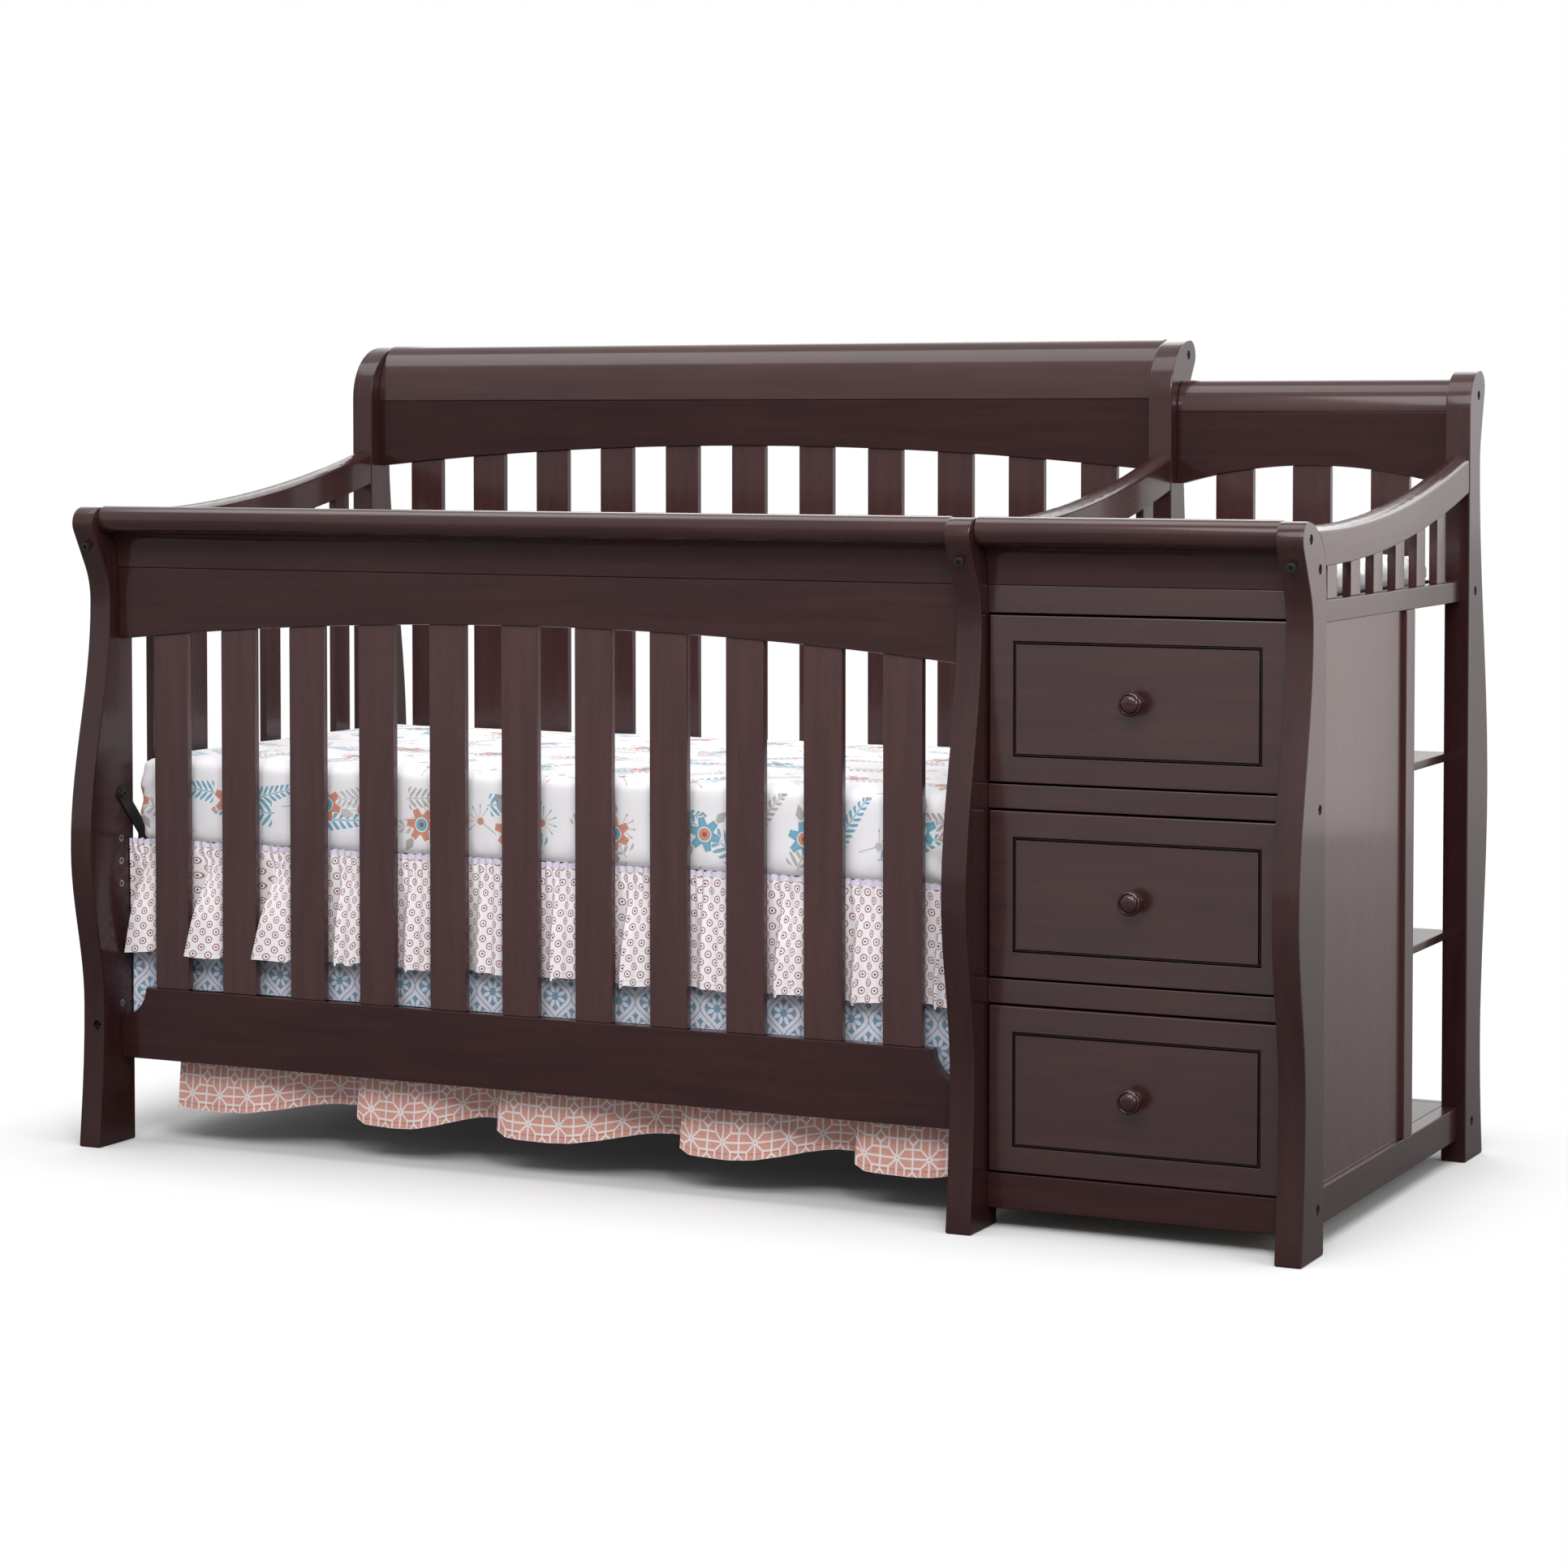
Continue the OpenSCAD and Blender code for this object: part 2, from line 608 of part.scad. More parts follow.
// Places of the threaded inserts on a crib post's inner face: heights above the floor
spare_heights = [for (i = [0:2]) hanger_bolt_z - 65 - i * height_pitch];
insert_heights = concat([hanger_bolt_z], spare_heights, [bottom_rail_z + 79]);
insert_len = 12;

// ---- posts ----

module insert_bores(x, s, y) {
    for (h = insert_heights)
        rod_x(min(x - s * cut, x + s * insert_len), max(x - s * cut, x + s * insert_len), y, h, nut_dia);
}

module front_left_post() {
    color(wood) difference() {
        along_x(x_left, post_thk, front_outline);
        bolt_holes(left_bolts);
        front_tilt_bolt(post_centres[0], bolt_dia + 2 * hole_clear, bolt_head_dia + 2 * hole_clear,
            bolt_head_h, bolt_recess, 30);
        low_bolts(bolt_dia + 2 * hole_clear, bolt_head_dia + 2 * hole_clear, bolt_head_h, 30);
        insert_bores(x_left_in, -1, hole_line);
    }
}

module front_middle_post() {
    color(wood) difference() {
        along_x(x_mid, post_thk, front_outline);
        bolt_holes(middle_bolts);
        stud_holes(studs);
        front_tilt_bolt(post_centres[1], bolt_dia + 2 * hole_clear, bolt_head_dia + 2 * hole_clear,
            bolt_head_h, bolt_recess, 30);
        insert_bores(x_mid, 1, hole_line);
    }
}

module front_right_post() {
    color(wood) difference() {
        along_x(x_right_in, post_thk, front_outline);
        bolt_holes(right_bolts);
        front_tilt_bolt(post_centres[2], bolt_dia + 2 * hole_clear, bolt_head_dia + 2 * hole_clear,
            bolt_head_h, bolt_recess, 30);
    }
}

module back_left_post() {
    color(wood) difference() {
        along_x(x_left, post_thk, tall_outline);
        bolt_holes(left_bolts);
        back_tie_bolt(post_centres[0], bolt_dia + 2 * hole_clear, bolt_head_dia + 2 * hole_clear,
            40, tie_seat_y);
        low_bolts(bolt_dia + 2 * hole_clear, bolt_head_dia + 2 * hole_clear, bolt_head_h, 30);
        insert_bores(x_left_in, -1, hole_line_b);
    }
}

module back_middle_post() {
    color(wood) difference() {
        along_x(x_mid, post_thk, tall_outline);
        bolt_holes(middle_bolts);
        stud_holes(studs);
        back_tie_bolt(post_centres[1], bolt_dia + 2 * hole_clear, bolt_head_dia + 2 * hole_clear,
            40, tie_seat_y);
        insert_bores(x_mid, 1, hole_line_b);
    }
}

module back_right_post() {
    color(wood) difference() {
        along_x(x_right_in, post_thk, changer_outline);
        bolt_holes(right_bolts);
        back_tie_bolt(post_centres[2], bolt_dia + 2 * hole_clear, bolt_head_dia + 2 * hole_clear,
            40, tie_seat_y);
    }
}

// ---- rails between the posts ----

module front_crown(x, len) {
    along_x(x, len, [for (p = crown_section) [y_rail_f - p[0], front_crown_z + p[1]]]);
}

module front_crown_rail() {
    color(wood) difference() {
        front_crown(x_left_in, crib_inner_len);
        bolt_holes(left_bolts);
        stud_holes(studs);
    }
}

module changer_crown_rail() {
    color(wood) difference() {
        front_crown(x_mid_in, changer_inner_len);
        bolt_holes(right_bolts);
        stud_holes(studs);
    }
}

module back_crown_rail() {
    color(wood) difference() {
        along_x(x_left_in, crib_inner_len,
            [for (p = crown_section) [y_rail_b + p[0], back_crown_z + p[1]]]);
        bolt_holes(left_bolts);
        bolt_holes(middle_bolts);
        stud_holes(studs);
    }
}

module changer_back_crown() {
    color(wood) difference() {
        along_x(x_mid_in, changer_inner_len,
            [for (p = small_crown_section) [y_rail_b + p[0], small_crown_z + p[1]]]);
        bolt_holes(right_bolts);
        stud_holes(studs);
    }
}

// An arched rail: y is its front face, z the underside of its ends
module arched_board(x, y, z, len, rise, h) {
    difference() {
        translate([x, y, z]) cube([len, rail_thk, h]);
        translate([x + len / 2, y - cut, z + rise - arch_radius(len, rise)]) rotate([-90, 0, 0])
            cylinder(h = rail_thk + 2 * cut, r = arch_radius(len, rise), $fn = big_fn);
    }
}

// The space under an arch, which trims the tops of the slats
module over_arch(x, y, z, len, rise) {
    difference() {
        translate([x - cut, y - cut, z - cut]) cube([len + 2 * cut, rail_thk + 2 * cut, rail_h]);
        translate([x + len / 2, y - 2 * cut, z + rise - arch_radius(len, rise)]) rotate([-90, 0, 0])
            cylinder(h = rail_thk + 4 * cut, r = arch_radius(len, rise), $fn = big_fn);
    }
}

// Tenons of a panel's slats; with a clearance c, the mortises for them in its rails
module panel_tenons(x, y, len, count, gap, z0, z_arch, rise, c) {
    for (i = [0:count - 1]) {
        sx = x + gap + i * (slat_w + gap);
        top = z_arch + arch_at(len, rise, sx + slat_w / 2 - x - len / 2);
        translate([sx + tenon_shoulder - c, y + (slat_thk - tenon_thk) / 2 - c, z0 - tenon_len - c])
            cube([slat_w - 2 * tenon_shoulder + 2 * c, tenon_thk + 2 * c, top - z0 + 2 * (tenon_len + c)]);
    }
}

module panel_slats(x, y, len, count, gap, z0, z_arch, rise) {
    difference() {
        for (i = [0:count - 1])
            translate([x + gap + i * (slat_w + gap), y, z0]) cube([slat_w, slat_thk, z_arch + rise - z0]);
        over_arch(x, y - (rail_thk - slat_thk) / 2, z_arch, len, rise);
    }
    panel_tenons(x, y, len, count, gap, z0, z_arch, rise, 0);
}

slat_y_f = y_rail_f - rail_thk / 2 - slat_thk / 2;
slat_y_b = y_rail_b + rail_thk / 2 - slat_thk / 2;
front_arch_z = front_crown_z - rail_h;

module front_slats() {
    color(wood) panel_slats(x_left_in, slat_y_f, crib_inner_len, slat_count, slat_gap,
        bottom_rail_top_z, front_arch_z, arch_rise);
}

module back_slats() {
    color(wood) panel_slats(x_left_in, slat_y_b, crib_inner_len, slat_count, slat_gap,
        bottom_rail_top_z, back_arch_z, arch_rise);
}

module changer_back_slats() {
    color(wood) panel_slats(x_mid_in, slat_y_b, changer_inner_len, changer_slat_count,
        changer_slat_gap, upper_rail_top_z, small_arch_z, changer_arch_rise);
}

module front_arched_rail() {
    color(wood) difference() {
        arched_board(x_left_in, y_rail_f - rail_thk, front_arch_z, crib_inner_len, arch_rise, rail_h);
        panel_tenons(x_left_in, slat_y_f, crib_inner_len, slat_count, slat_gap,
            bottom_rail_top_z, front_arch_z, arch_rise, mortise_clear);
        stud_holes(studs);
    }
}

module back_arched_rail() {
    color(wood) difference() {
        arched_board(x_left_in, y_rail_b, back_arch_z, crib_inner_len, arch_rise, rail_h);
        panel_tenons(x_left_in, slat_y_b, crib_inner_len, slat_count, slat_gap,
            bottom_rail_top_z, back_arch_z, arch_rise, mortise_clear);
        bolt_holes(left_bolts);
        stud_holes(studs);
    }
}

module changer_back_arched_rail() {
    color(wood) difference() {
        arched_board(x_mid_in, y_rail_b, small_arch_z, changer_inner_len, changer_arch_rise, rail_h);
        panel_tenons(x_mid_in, slat_y_b, changer_inner_len, changer_slat_count,
            changer_slat_gap, upper_rail_top_z, small_arch_z, changer_arch_rise, mortise_clear);
        stud_holes(studs);
    }
}

// A crib bottom rail with a scoop out of each upper corner
module bottom_board(y) {
    difference() {
        translate([x_left_in, y, bottom_rail_z]) cube([crib_inner_len, rail_thk, rail_h]);
        for (x = [x_left_in, x_mid])
            rod_y(x, y - cut, y + rail_thk + cut, bottom_rail_top_z, 2 * scoop_r);
    }
}

module front_bottom_rail() {
    color(wood) difference() {
        bottom_board(y_rail_f - rail_thk);
        panel_tenons(x_left_in, slat_y_f, crib_inner_len, slat_count, slat_gap,
            bottom_rail_top_z, front_arch_z, arch_rise, mortise_clear);
        bolt_holes(left_bolts);
        bolt_holes(middle_bolts);
    }
}

module back_bottom_rail() {
    color(wood) difference() {
        bottom_board(y_rail_b);
        panel_tenons(x_left_in, slat_y_b, crib_inner_len, slat_count, slat_gap,
            bottom_rail_top_z, back_arch_z, arch_rise, mortise_clear);
        bolt_holes(left_bolts);
        bolt_holes(middle_bolts);
    }
}

module changer_back_rails() {
    color(wood) difference() {
        union() {
            translate([x_mid_in, y_rail_b, upper_rail_z]) cube([changer_inner_len, rail_thk, upper_rail_h]);
            translate([x_mid_in, y_rail_b, changer_bottom_z])
                cube([changer_inner_len, rail_thk, changer_bottom_h]);
        }
        panel_tenons(x_mid_in, slat_y_b, changer_inner_len, changer_slat_count,
            changer_slat_gap, upper_rail_top_z, small_arch_z, changer_arch_rise, mortise_clear);
        bolt_holes(middle_bolts);
        bolt_holes(right_bolts);
    }
}

// ---- end frames ----

// A curved end rail between its posts: x is the outer face of the post it stands in
module curved_board(x) {
    r_top = curved_rail_r - curved_rail_h;
    half = curved_rail_w / 2;
    round_r = (half * half + crest_round_h * crest_round_h) / (2 * crest_round_h);
    lead = asin((front_scroll_reach - scroll_r) / curved_rail_r);
    sweep = asin((end_span + cut) / curved_rail_r);
    intersection() {
        difference() {
            translate([x + post_thk / 2, curve_y, curve_z]) rotate([90, 0, 90])
                rotate([0, 0, -90 - lead]) rotate_extrude(angle = lead + sweep + 1, $fn = big_fn) {
                    translate([r_top + crest_round_h, -half])
                        square([curved_rail_h - crest_round_h, curved_rail_w]);
                    intersection() {
                        translate([r_top, -half]) square([crest_round_h + cut, curved_rail_w]);
                        translate([r_top + round_r, 0]) circle(r = round_r, $fn = fine);
                    }
                }
            along_x(x - cut, post_thk + 2 * cut, front_outline);
            front_tilt_bolt(x + post_thk / 2, bolt_dia + 2 * hole_clear,
                bolt_head_dia + 2 * hole_clear, bolt_head_h, bolt_recess, 30);
            back_tie_bolt(x + post_thk / 2, bolt_dia + 2 * hole_clear,
                bolt_head_dia + 2 * hole_clear, 40, tie_seat_y);
        }
        translate([x - cut, y_post_f - front_scroll_reach, curved_rail_z - curved_rail_h])
            cube([post_thk + 2 * cut, end_span + front_scroll_reach, 6 * curved_rail_h]);
    }
}

// What lies above the underside of a curved rail, to trim the end slats
module over_curve(x) {
    translate([x - cut, curve_y, curve_z]) rotate([0, 90, 0])
        cylinder(h = post_thk + 2 * cut, r = curved_rail_r, $fn = big_fn);
}

// Tenons of the end slats; with a clearance c, the mortises for them in the end rails
module end_tenons(x, z0, c) {
    for (i = [0:end_slat_count - 1]) {
        sy = y_post_f + end_slat_gap + i * (end_slat_w + end_slat_gap);
        top = curve_at(sy + end_slat_w / 2);
        translate([x + (slat_thk - tenon_thk) / 2 - c, sy + tenon_shoulder - c, z0 - tenon_len - c])
            cube([tenon_thk + 2 * c, end_slat_w - 2 * tenon_shoulder + 2 * c, top - z0 + 2 * (tenon_len + c)]);
    }
}

module end_slats(x, z0) {
    difference() {
        for (i = [0:end_slat_count - 1])
            translate([x, y_post_f + end_slat_gap + i * (end_slat_w + end_slat_gap), z0])
                cube([slat_thk, end_slat_w, curve_at(y_post_b) + cut - z0]);
        over_curve(x);
    }
    end_tenons(x, z0, 0);
}

// The slats stand in the middle of the straight end rails
end_slat_in = (end_rail_thk - slat_thk) / 2;
x_left_slat = x_left_in - end_rail_thk + end_slat_in;
x_mid_slat = x_mid_in - end_rail_thk + end_slat_in;
x_right_slat = x_right_in + end_slat_in;

module left_curved_rail() {
    color(wood) difference() {
        curved_board(x_left);
        end_tenons(x_left_slat, bottom_rail_top_z, mortise_clear);
    }
}

module middle_curved_rail() {
    color(wood) difference() {
        curved_board(x_mid);
        end_tenons(x_mid_slat, upper_rail_top_z, mortise_clear);
    }
}

module right_curved_rail() {
    color(wood) difference() {
        curved_board(x_right_in);
        end_tenons(x_right_slat, upper_rail_top_z, mortise_clear);
    }
}

module left_slats() {
    color(wood) end_slats(x_left_slat, bottom_rail_top_z);
}

module middle_slats() {
    color(wood) end_slats(x_mid_slat, upper_rail_top_z);
}

module right_slats() {
    color(wood) end_slats(x_right_slat, upper_rail_top_z);
}

// A straight end rail between the posts' straight edges
module end_board(x, z, h) {
    translate([x, y_post_f, z]) cube([end_rail_thk, end_span, h]);
}

module left_bottom_rail() {
    color(wood) difference() {
        end_board(x_left_in - end_rail_thk, bottom_rail_z, rail_h);
        end_tenons(x_left_slat, bottom_rail_top_z, mortise_clear);
        low_bolts(bolt_dia + 2 * hole_clear, bolt_head_dia + 2 * hole_clear, bolt_head_h, 30);
    }
}

module middle_upper_rail() {
    color(wood) difference() {
        end_board(x_mid_in - end_rail_thk, upper_rail_z, upper_rail_h);
        end_tenons(x_mid_slat, upper_rail_top_z, mortise_clear);
    }
}

module right_upper_rail() {
    color(wood) difference() {
        end_board(x_right_in, upper_rail_z, upper_rail_h);
        end_tenons(x_right_slat, upper_rail_top_z, mortise_clear);
    }
}

module middle_bottom_rail() {
    color(wood) end_board(x_mid_in - end_rail_thk, changer_bottom_z, changer_bottom_h);
}

module right_bottom_rail() {
    color(wood) end_board(x_right_in, changer_bottom_z, changer_bottom_h);
}

module middle_panel() {
    color(wood) translate([x_mid_in - end_panel_thk, y_post_f, panel_z])
        cube([end_panel_thk, end_span, panel_h]);
}

module right_panel() {
    color(wood) translate([x_right_in, y_post_f, panel_z]) cube([side_panel_thk, stile_y, panel_h]);
}

module right_stile() {
    color(wood) translate([x_right_in, stile_y0, panel_z]) cube([end_rail_thk, stile_w, panel_h]);
}

// ---- changer cabinet ----

// A front rail of the cabinet
module front_board(z, h) {
    translate([x_mid_in, y_rail_f - rail_thk, z]) cube([changer_inner_len, rail_thk, h]);
}

module cabinet_top_rail() {
    color(wood) difference() {
        front_board(top_rail_z, front_crown_z - top_rail_z);
        stud_holes(studs);
    }
}

module drawer_dividers() {
    color(wood) difference() {
        for (z = divider_z) front_board(z - divider_h / 2, divider_h);
        bolt_holes(middle_bolts);
        bolt_holes(right_bolts);
    }
}

module cabinet_bottom_rail() {
    color(wood) difference() {
        front_board(cabinet_bottom_z, cabinet_bottom_top_z - cabinet_bottom_z);
        bolt_holes(middle_bolts);
        bolt_holes(right_bolts);
    }
}

module changer_top() {
    color(wood) translate([x_mid_in, y_rail_f, changer_top_z])
        cube([changer_inner_len, crib_inner_wid, changer_top_thk]);
}

module cabinet_back_panel() {
    color(wood) translate([x_mid_in, back_panel_y, panel_z])
        cube([changer_inner_len, cabinet_back_thk, changer_top_z - panel_z]);
}

// Three shelves behind the drawers: two level with the dividers, which run out into the open
// bay, and one level with the bottom rails
shelf_tops = [for (i = [1:2]) top_rail_z - i * drawer_pitch + divider_h];

module shelf_board(z_top) {
    translate([x_mid_in, bay_y, z_top - shelf_thk])
        cube([changer_inner_len, y_rail_b - bay_y, shelf_thk]);
}

module rear_shelves() {
    color(wood) {
        shelf_board(changer_bottom_top_z);
        for (z = shelf_tops) {
            shelf_board(z);
            translate([x_right_in - cut, stile_y0 + stile_w, z - shelf_thk])
                cube([shelf_nose + cut, y_post_b - stile_y0 - stile_w, shelf_thk]);
        }
    }
}

// ---- drawer runners ----

// Fixed member: a channel on the cabinet wall, open towards the drawer. s is 1 on the left wall.
module fixed_runner(x, s, z) {
    web = runner_steel;
    lip = runner_space - 3;
    pts = [[0, -runner_h / 2], [lip, -runner_h / 2], [lip, web - runner_h / 2],
        [web, web - runner_h / 2], [web, runner_h / 2 - web], [lip, runner_h / 2 - web],
        [lip, runner_h / 2], [0, runner_h / 2]];
    translate([x, runner_y, z]) rotate([90, 0, 0]) mirror([0, 0, 1])
        linear_extrude(runner_len) polygon([for (p = pts) [s * p[0], p[1]]]);
}

// Moving member: a channel on the drawer's side that runs inside the fixed one
module moving_runner(x, s, z) {
    half = runner_h / 2 - runner_steel - runner_gap;
    inner = runner_steel + 1.5;
    pts = [[runner_space, -half], [inner, -half], [inner, runner_steel - half],
        [runner_space - runner_steel, runner_steel - half],
        [runner_space - runner_steel, half - runner_steel], [inner, half - runner_steel],
        [inner, half], [runner_space, half]];
    translate([x, runner_y, z]) rotate([90, 0, 0]) mirror([0, 0, 1])
        linear_extrude(runner_len) polygon([for (p = pts) [s * p[0], p[1]]]);
}

// Lower edge of a drawer's front, the top drawer being number 1
function drawer_z(n) = top_rail_z - n * drawer_pitch + divider_h + drawer_gap;

module cabinet_runners() {
    color(steel) for (n = [1:3]) {
        fixed_runner(x_mid_in, 1, drawer_z(n) + runner_rise);
        fixed_runner(x_right_in, -1, drawer_z(n) + runner_rise);
    }
}

// ---- drawers ----

module drawer_front(n) {
    x0 = drawer_x - drawer_w / 2;
    z0 = drawer_z(n);
    gw = drawer_w - 2 * groove_margin;
    gh = drawer_h - 2 * groove_margin;
    color(wood) difference() {
        translate([x0, drawer_y, z0]) cube([drawer_w, drawer_front_thk, drawer_h]);
        difference() {
            translate([x0 + groove_margin, drawer_y - cut, z0 + groove_margin])
                cube([gw, groove_depth + cut, gh]);
            translate([x0 + groove_margin + groove_w, drawer_y - 2 * cut, z0 + groove_margin + groove_w])
                cube([gw - 2 * groove_w, groove_depth + 3 * cut, gh - 2 * groove_w]);
        }
        rod_y(drawer_x, drawer_y - cut, box_y + cut, z0 + drawer_h / 2, knob_screw_dia + 2 * hole_clear);
    }
}

// Two sides, a front and a back board between them, and a bottom
module drawer_box(n) {
    x0 = drawer_x - box_w / 2;
    z0 = drawer_z(n) + drawer_box_rise;
    t = drawer_side_thk;
    g = glue_gap;
    in_w = box_w - 2 * t - 2 * g;
    color(raw_wood) {
        for (x = [x0, x0 + box_w - t]) translate([x, box_y, z0]) cube([t, drawer_box_depth, drawer_box_h]);
        difference() {
            translate([x0 + t + g, box_y, z0]) cube([in_w, t, drawer_box_h]);
            rod_y(drawer_x, box_y - cut, box_y + t + cut, drawer_z(n) + drawer_h / 2,
                knob_screw_dia + 2 * hole_clear);
        }
        translate([x0 + t + g, box_y + drawer_box_depth - t, z0]) cube([in_w, t, drawer_box_h]);
        translate([x0 + t + g, box_y + t + g, z0 + drawer_floor_rise])
            cube([in_w, drawer_box_depth - 2 * t - 2 * g, drawer_floor_thk]);
    }
}

module drawer_runners(n) {
    z = drawer_z(n) + runner_rise;
    color(steel) {
        moving_runner(x_mid_in, 1, z);
        moving_runner(x_right_in, -1, z);
    }
}

// A turned knob with a rose at its foot, and the screw that holds it through the front
module drawer_knob(n) {
    r = knob_dia / 2;
    stem = knob_stem_dia / 2;
    head = 0.45 * knob_len; // thickness of the head
    back = drawer_front_thk + drawer_side_thk; // from the front's face to inside the box
    outline = concat(
        [[0, -back - 3], [4.5, -back - 3], [4.5, -back], [knob_screw_dia / 2, -back],
            [knob_screw_dia / 2, 0], [stem + 2, 0], [stem + 2, 2.5], [stem, 4]],
        [for (i = [1:5]) let (t = i / 5)
            [stem + (r - 1.5 - stem) * t * t, 4 + (knob_len - head - 4) * t]],
        [for (i = [0:8]) let (t = -30 + 120 * i / 8)
            [(r - head / 2) * max(0, 1 - pow(max(t, 0) / 90, 3)) + head / 2 * cos(t),
                knob_len - head / 2 + head / 2 * sin(t)]],
        [[0, knob_len]]
    );
    color(wood_dark) translate([drawer_x, drawer_y, drawer_z(n) + drawer_h / 2]) rotate([90, 0, 0])
        rotate_extrude($fn = fine) polygon(outline);
}

module drawer_1_front() { drawer_front(1); }
module drawer_1_box() { drawer_box(1); }
module drawer_1_knob() { drawer_knob(1); }
module drawer_1_runners() { drawer_runners(1); }
module drawer_2_front() { drawer_front(2); }
module drawer_2_box() { drawer_box(2); }
module drawer_2_knob() { drawer_knob(2); }
module drawer_2_runners() { drawer_runners(2); }
module drawer_3_front() { drawer_front(3); }
module drawer_3_box() { drawer_box(3); }
module drawer_3_knob() { drawer_knob(3); }
module drawer_3_runners() { drawer_runners(3); }

// ---- mattress support ----

frame_x0 = x_left_in + hanger_thk + frame_end_gap;
frame_x1 = x_mid - hanger_thk - frame_end_gap;
frame_y0 = y_rail_f + frame_side_gap;
frame_y1 = y_rail_b - frame_side_gap;
frame_top_z = frame_z + frame_angle;

// Steel angles along the frame's sides: the upright leg outside, the level leg on top
module long_angle(y, q) {
    w = frame_x1 - frame_x0;
    translate([frame_x0, y, frame_z]) mirror([0, q < 0 ? 1 : 0, 0]) {
        cube([w, frame_steel, frame_angle]);
        translate([0, 0, frame_angle - frame_steel]) cube([w, frame_angle, frame_steel]);
    }
}

// Steel angles across the frame's ends, which fit between the long ones
module end_angle(x, s) {
    d = frame_y1 - frame_y0;
    leg = frame_steel + weld_gap;
    flat = frame_angle + weld_gap;
    translate([x, frame_y0, frame_z]) mirror([s < 0 ? 1 : 0, 0, 0]) {
        translate([0, leg, 0]) cube([frame_steel, d - 2 * leg, frame_angle - frame_steel - weld_gap]);
        translate([0, flat, 0]) cube([frame_steel, d - 2 * flat, frame_angle]);
        translate([0, flat, frame_angle - frame_steel]) cube([frame_angle, d - 2 * flat, frame_steel]);
    }
}

// The cross wires lie under the angles' level legs, and the long wires under the cross wires
module spring_frame() {
    w = frame_x1 - frame_x0;
    d = frame_y1 - frame_y0;
    cross_z = frame_top_z - frame_steel - weld_gap - wire_dia / 2;
    long_z = cross_z - wire_dia - weld_gap;
    end = frame_steel + weld_gap;
    color(black_steel) {
        long_angle(frame_y0, 1);
        long_angle(frame_y1, -1);
        end_angle(frame_x0, 1);
        end_angle(frame_x1, -1);
        for (i = [1:cross_wires])
            rod_y(frame_x0 + w * i / (cross_wires + 1), frame_y0 + end, frame_y1 - end, cross_z, wire_dia);
        for (i = [1:long_wires])
            rod_x(frame_x0 + end, frame_x1 - end, frame_y0 + d * i / (long_wires + 1), long_z, wire_dia);
    }
}

// A hanger lies on a post's inner face: s is 1 at the left posts, q is 1 at the front posts
hanger_knee_z = frame_z + hanger_knee_rise;

module hanger(x, y_bolt, s, q) {
    y_leg = y_bolt + q * (hole_set_back + hanger_in);
    rise = hanger_bolt_z - hanger_knee_z;
    run = y_leg - y_bolt;
    len = sqrt(rise * rise + run * run);
    x0 = min(x, x + s * hanger_thk);
    tab = 36;
    difference() {
        union() {
            rod_x(x0, x0 + hanger_thk, y_bolt, hanger_bolt_z, hanger_w);
            rod_x(x0, x0 + hanger_thk, y_leg, hanger_knee_z, hanger_w);
            translate([x0, y_bolt, hanger_bolt_z]) rotate([atan2(-rise, run), 0, 0])
                translate([0, 0, -hanger_w / 2]) cube([hanger_thk, len, hanger_w]);
            translate([x0, y_leg - hanger_w / 2, frame_z - hanger_thk])
                cube([hanger_thk, hanger_w, hanger_knee_z - frame_z + hanger_thk]);
            translate([min(x, x + s * tab), y_leg - hanger_w / 2, frame_z - hanger_thk])
                cube([tab, hanger_w, hanger_thk]);
        }
        rod_x(x0 - cut, x0 + hanger_thk + cut, y_bolt, hanger_bolt_z, bolt_dia + hole_clear);
    }
}

module frame_hangers() {
    color(black_steel) {
        hanger(x_left_in, hole_line, 1, 1);
        hanger(x_mid, hole_line, -1, 1);
        hanger(x_left_in, hole_line_b, 1, -1);
        hanger(x_mid, hole_line_b, -1, -1);
    }
}

// ---- fasteners ----

insert_places = [[x_left_in, -1, hole_line], [x_mid, 1, hole_line],
    [x_left_in, -1, hole_line_b], [x_mid, 1, hole_line_b]];

module rail_bolts() {
    color(steel) {
        for (b = concat(left_bolts, middle_bolts, right_bolts))
            side_bolt(b, bolt_dia, bolt_head_dia, bolt_head_h, bolt_recess);
        for (p = studs)
            rod_x(x_mid - nut_reach, x_mid_in + nut_reach, p[0], p[1], bolt_dia);
        for (x = post_centres) {
            front_tilt_bolt(x, bolt_dia, bolt_head_dia, bolt_head_h, bolt_recess, 0);
            back_tie_bolt(x, bolt_dia, bolt_head_dia, bolt_head_h, tie_seat_y);
        }
        low_bolts(bolt_dia, bolt_head_dia, bolt_head_h, 0);
        for (p = insert_places) {
            head = p[0] - p[1] * (hanger_thk + 3);
            seat = p[0] - p[1] * hanger_thk;
            tip = p[0] + p[1] * (insert_len - 2);
            rod_x(min(head, seat), max(head, seat), p[2], hanger_bolt_z, bolt_head_dia);
            rod_x(min(seat, tip), max(seat, tip), p[2], hanger_bolt_z, bolt_dia - 1);
        }
    }
}

// Barrel nuts, each with the bore for its bolt
module barrel_nut(x, y, z) {
    difference() {
        nut_at(x, y, z, 0);
        rod_x(x - nut_dia, x + nut_dia, y, z, bolt_dia);
    }
}

module barrel_nuts() {
    color(steel) {
        for (b = concat(left_bolts, middle_bolts, right_bolts))
            barrel_nut(b[0] + b[1] * (post_thk + nut_reach), b[2], b[3]);
        for (p = studs) {
            barrel_nut(x_mid - nut_reach, p[0], p[1]);
            barrel_nut(x_mid_in + nut_reach, p[0], p[1]);
        }
    }
}

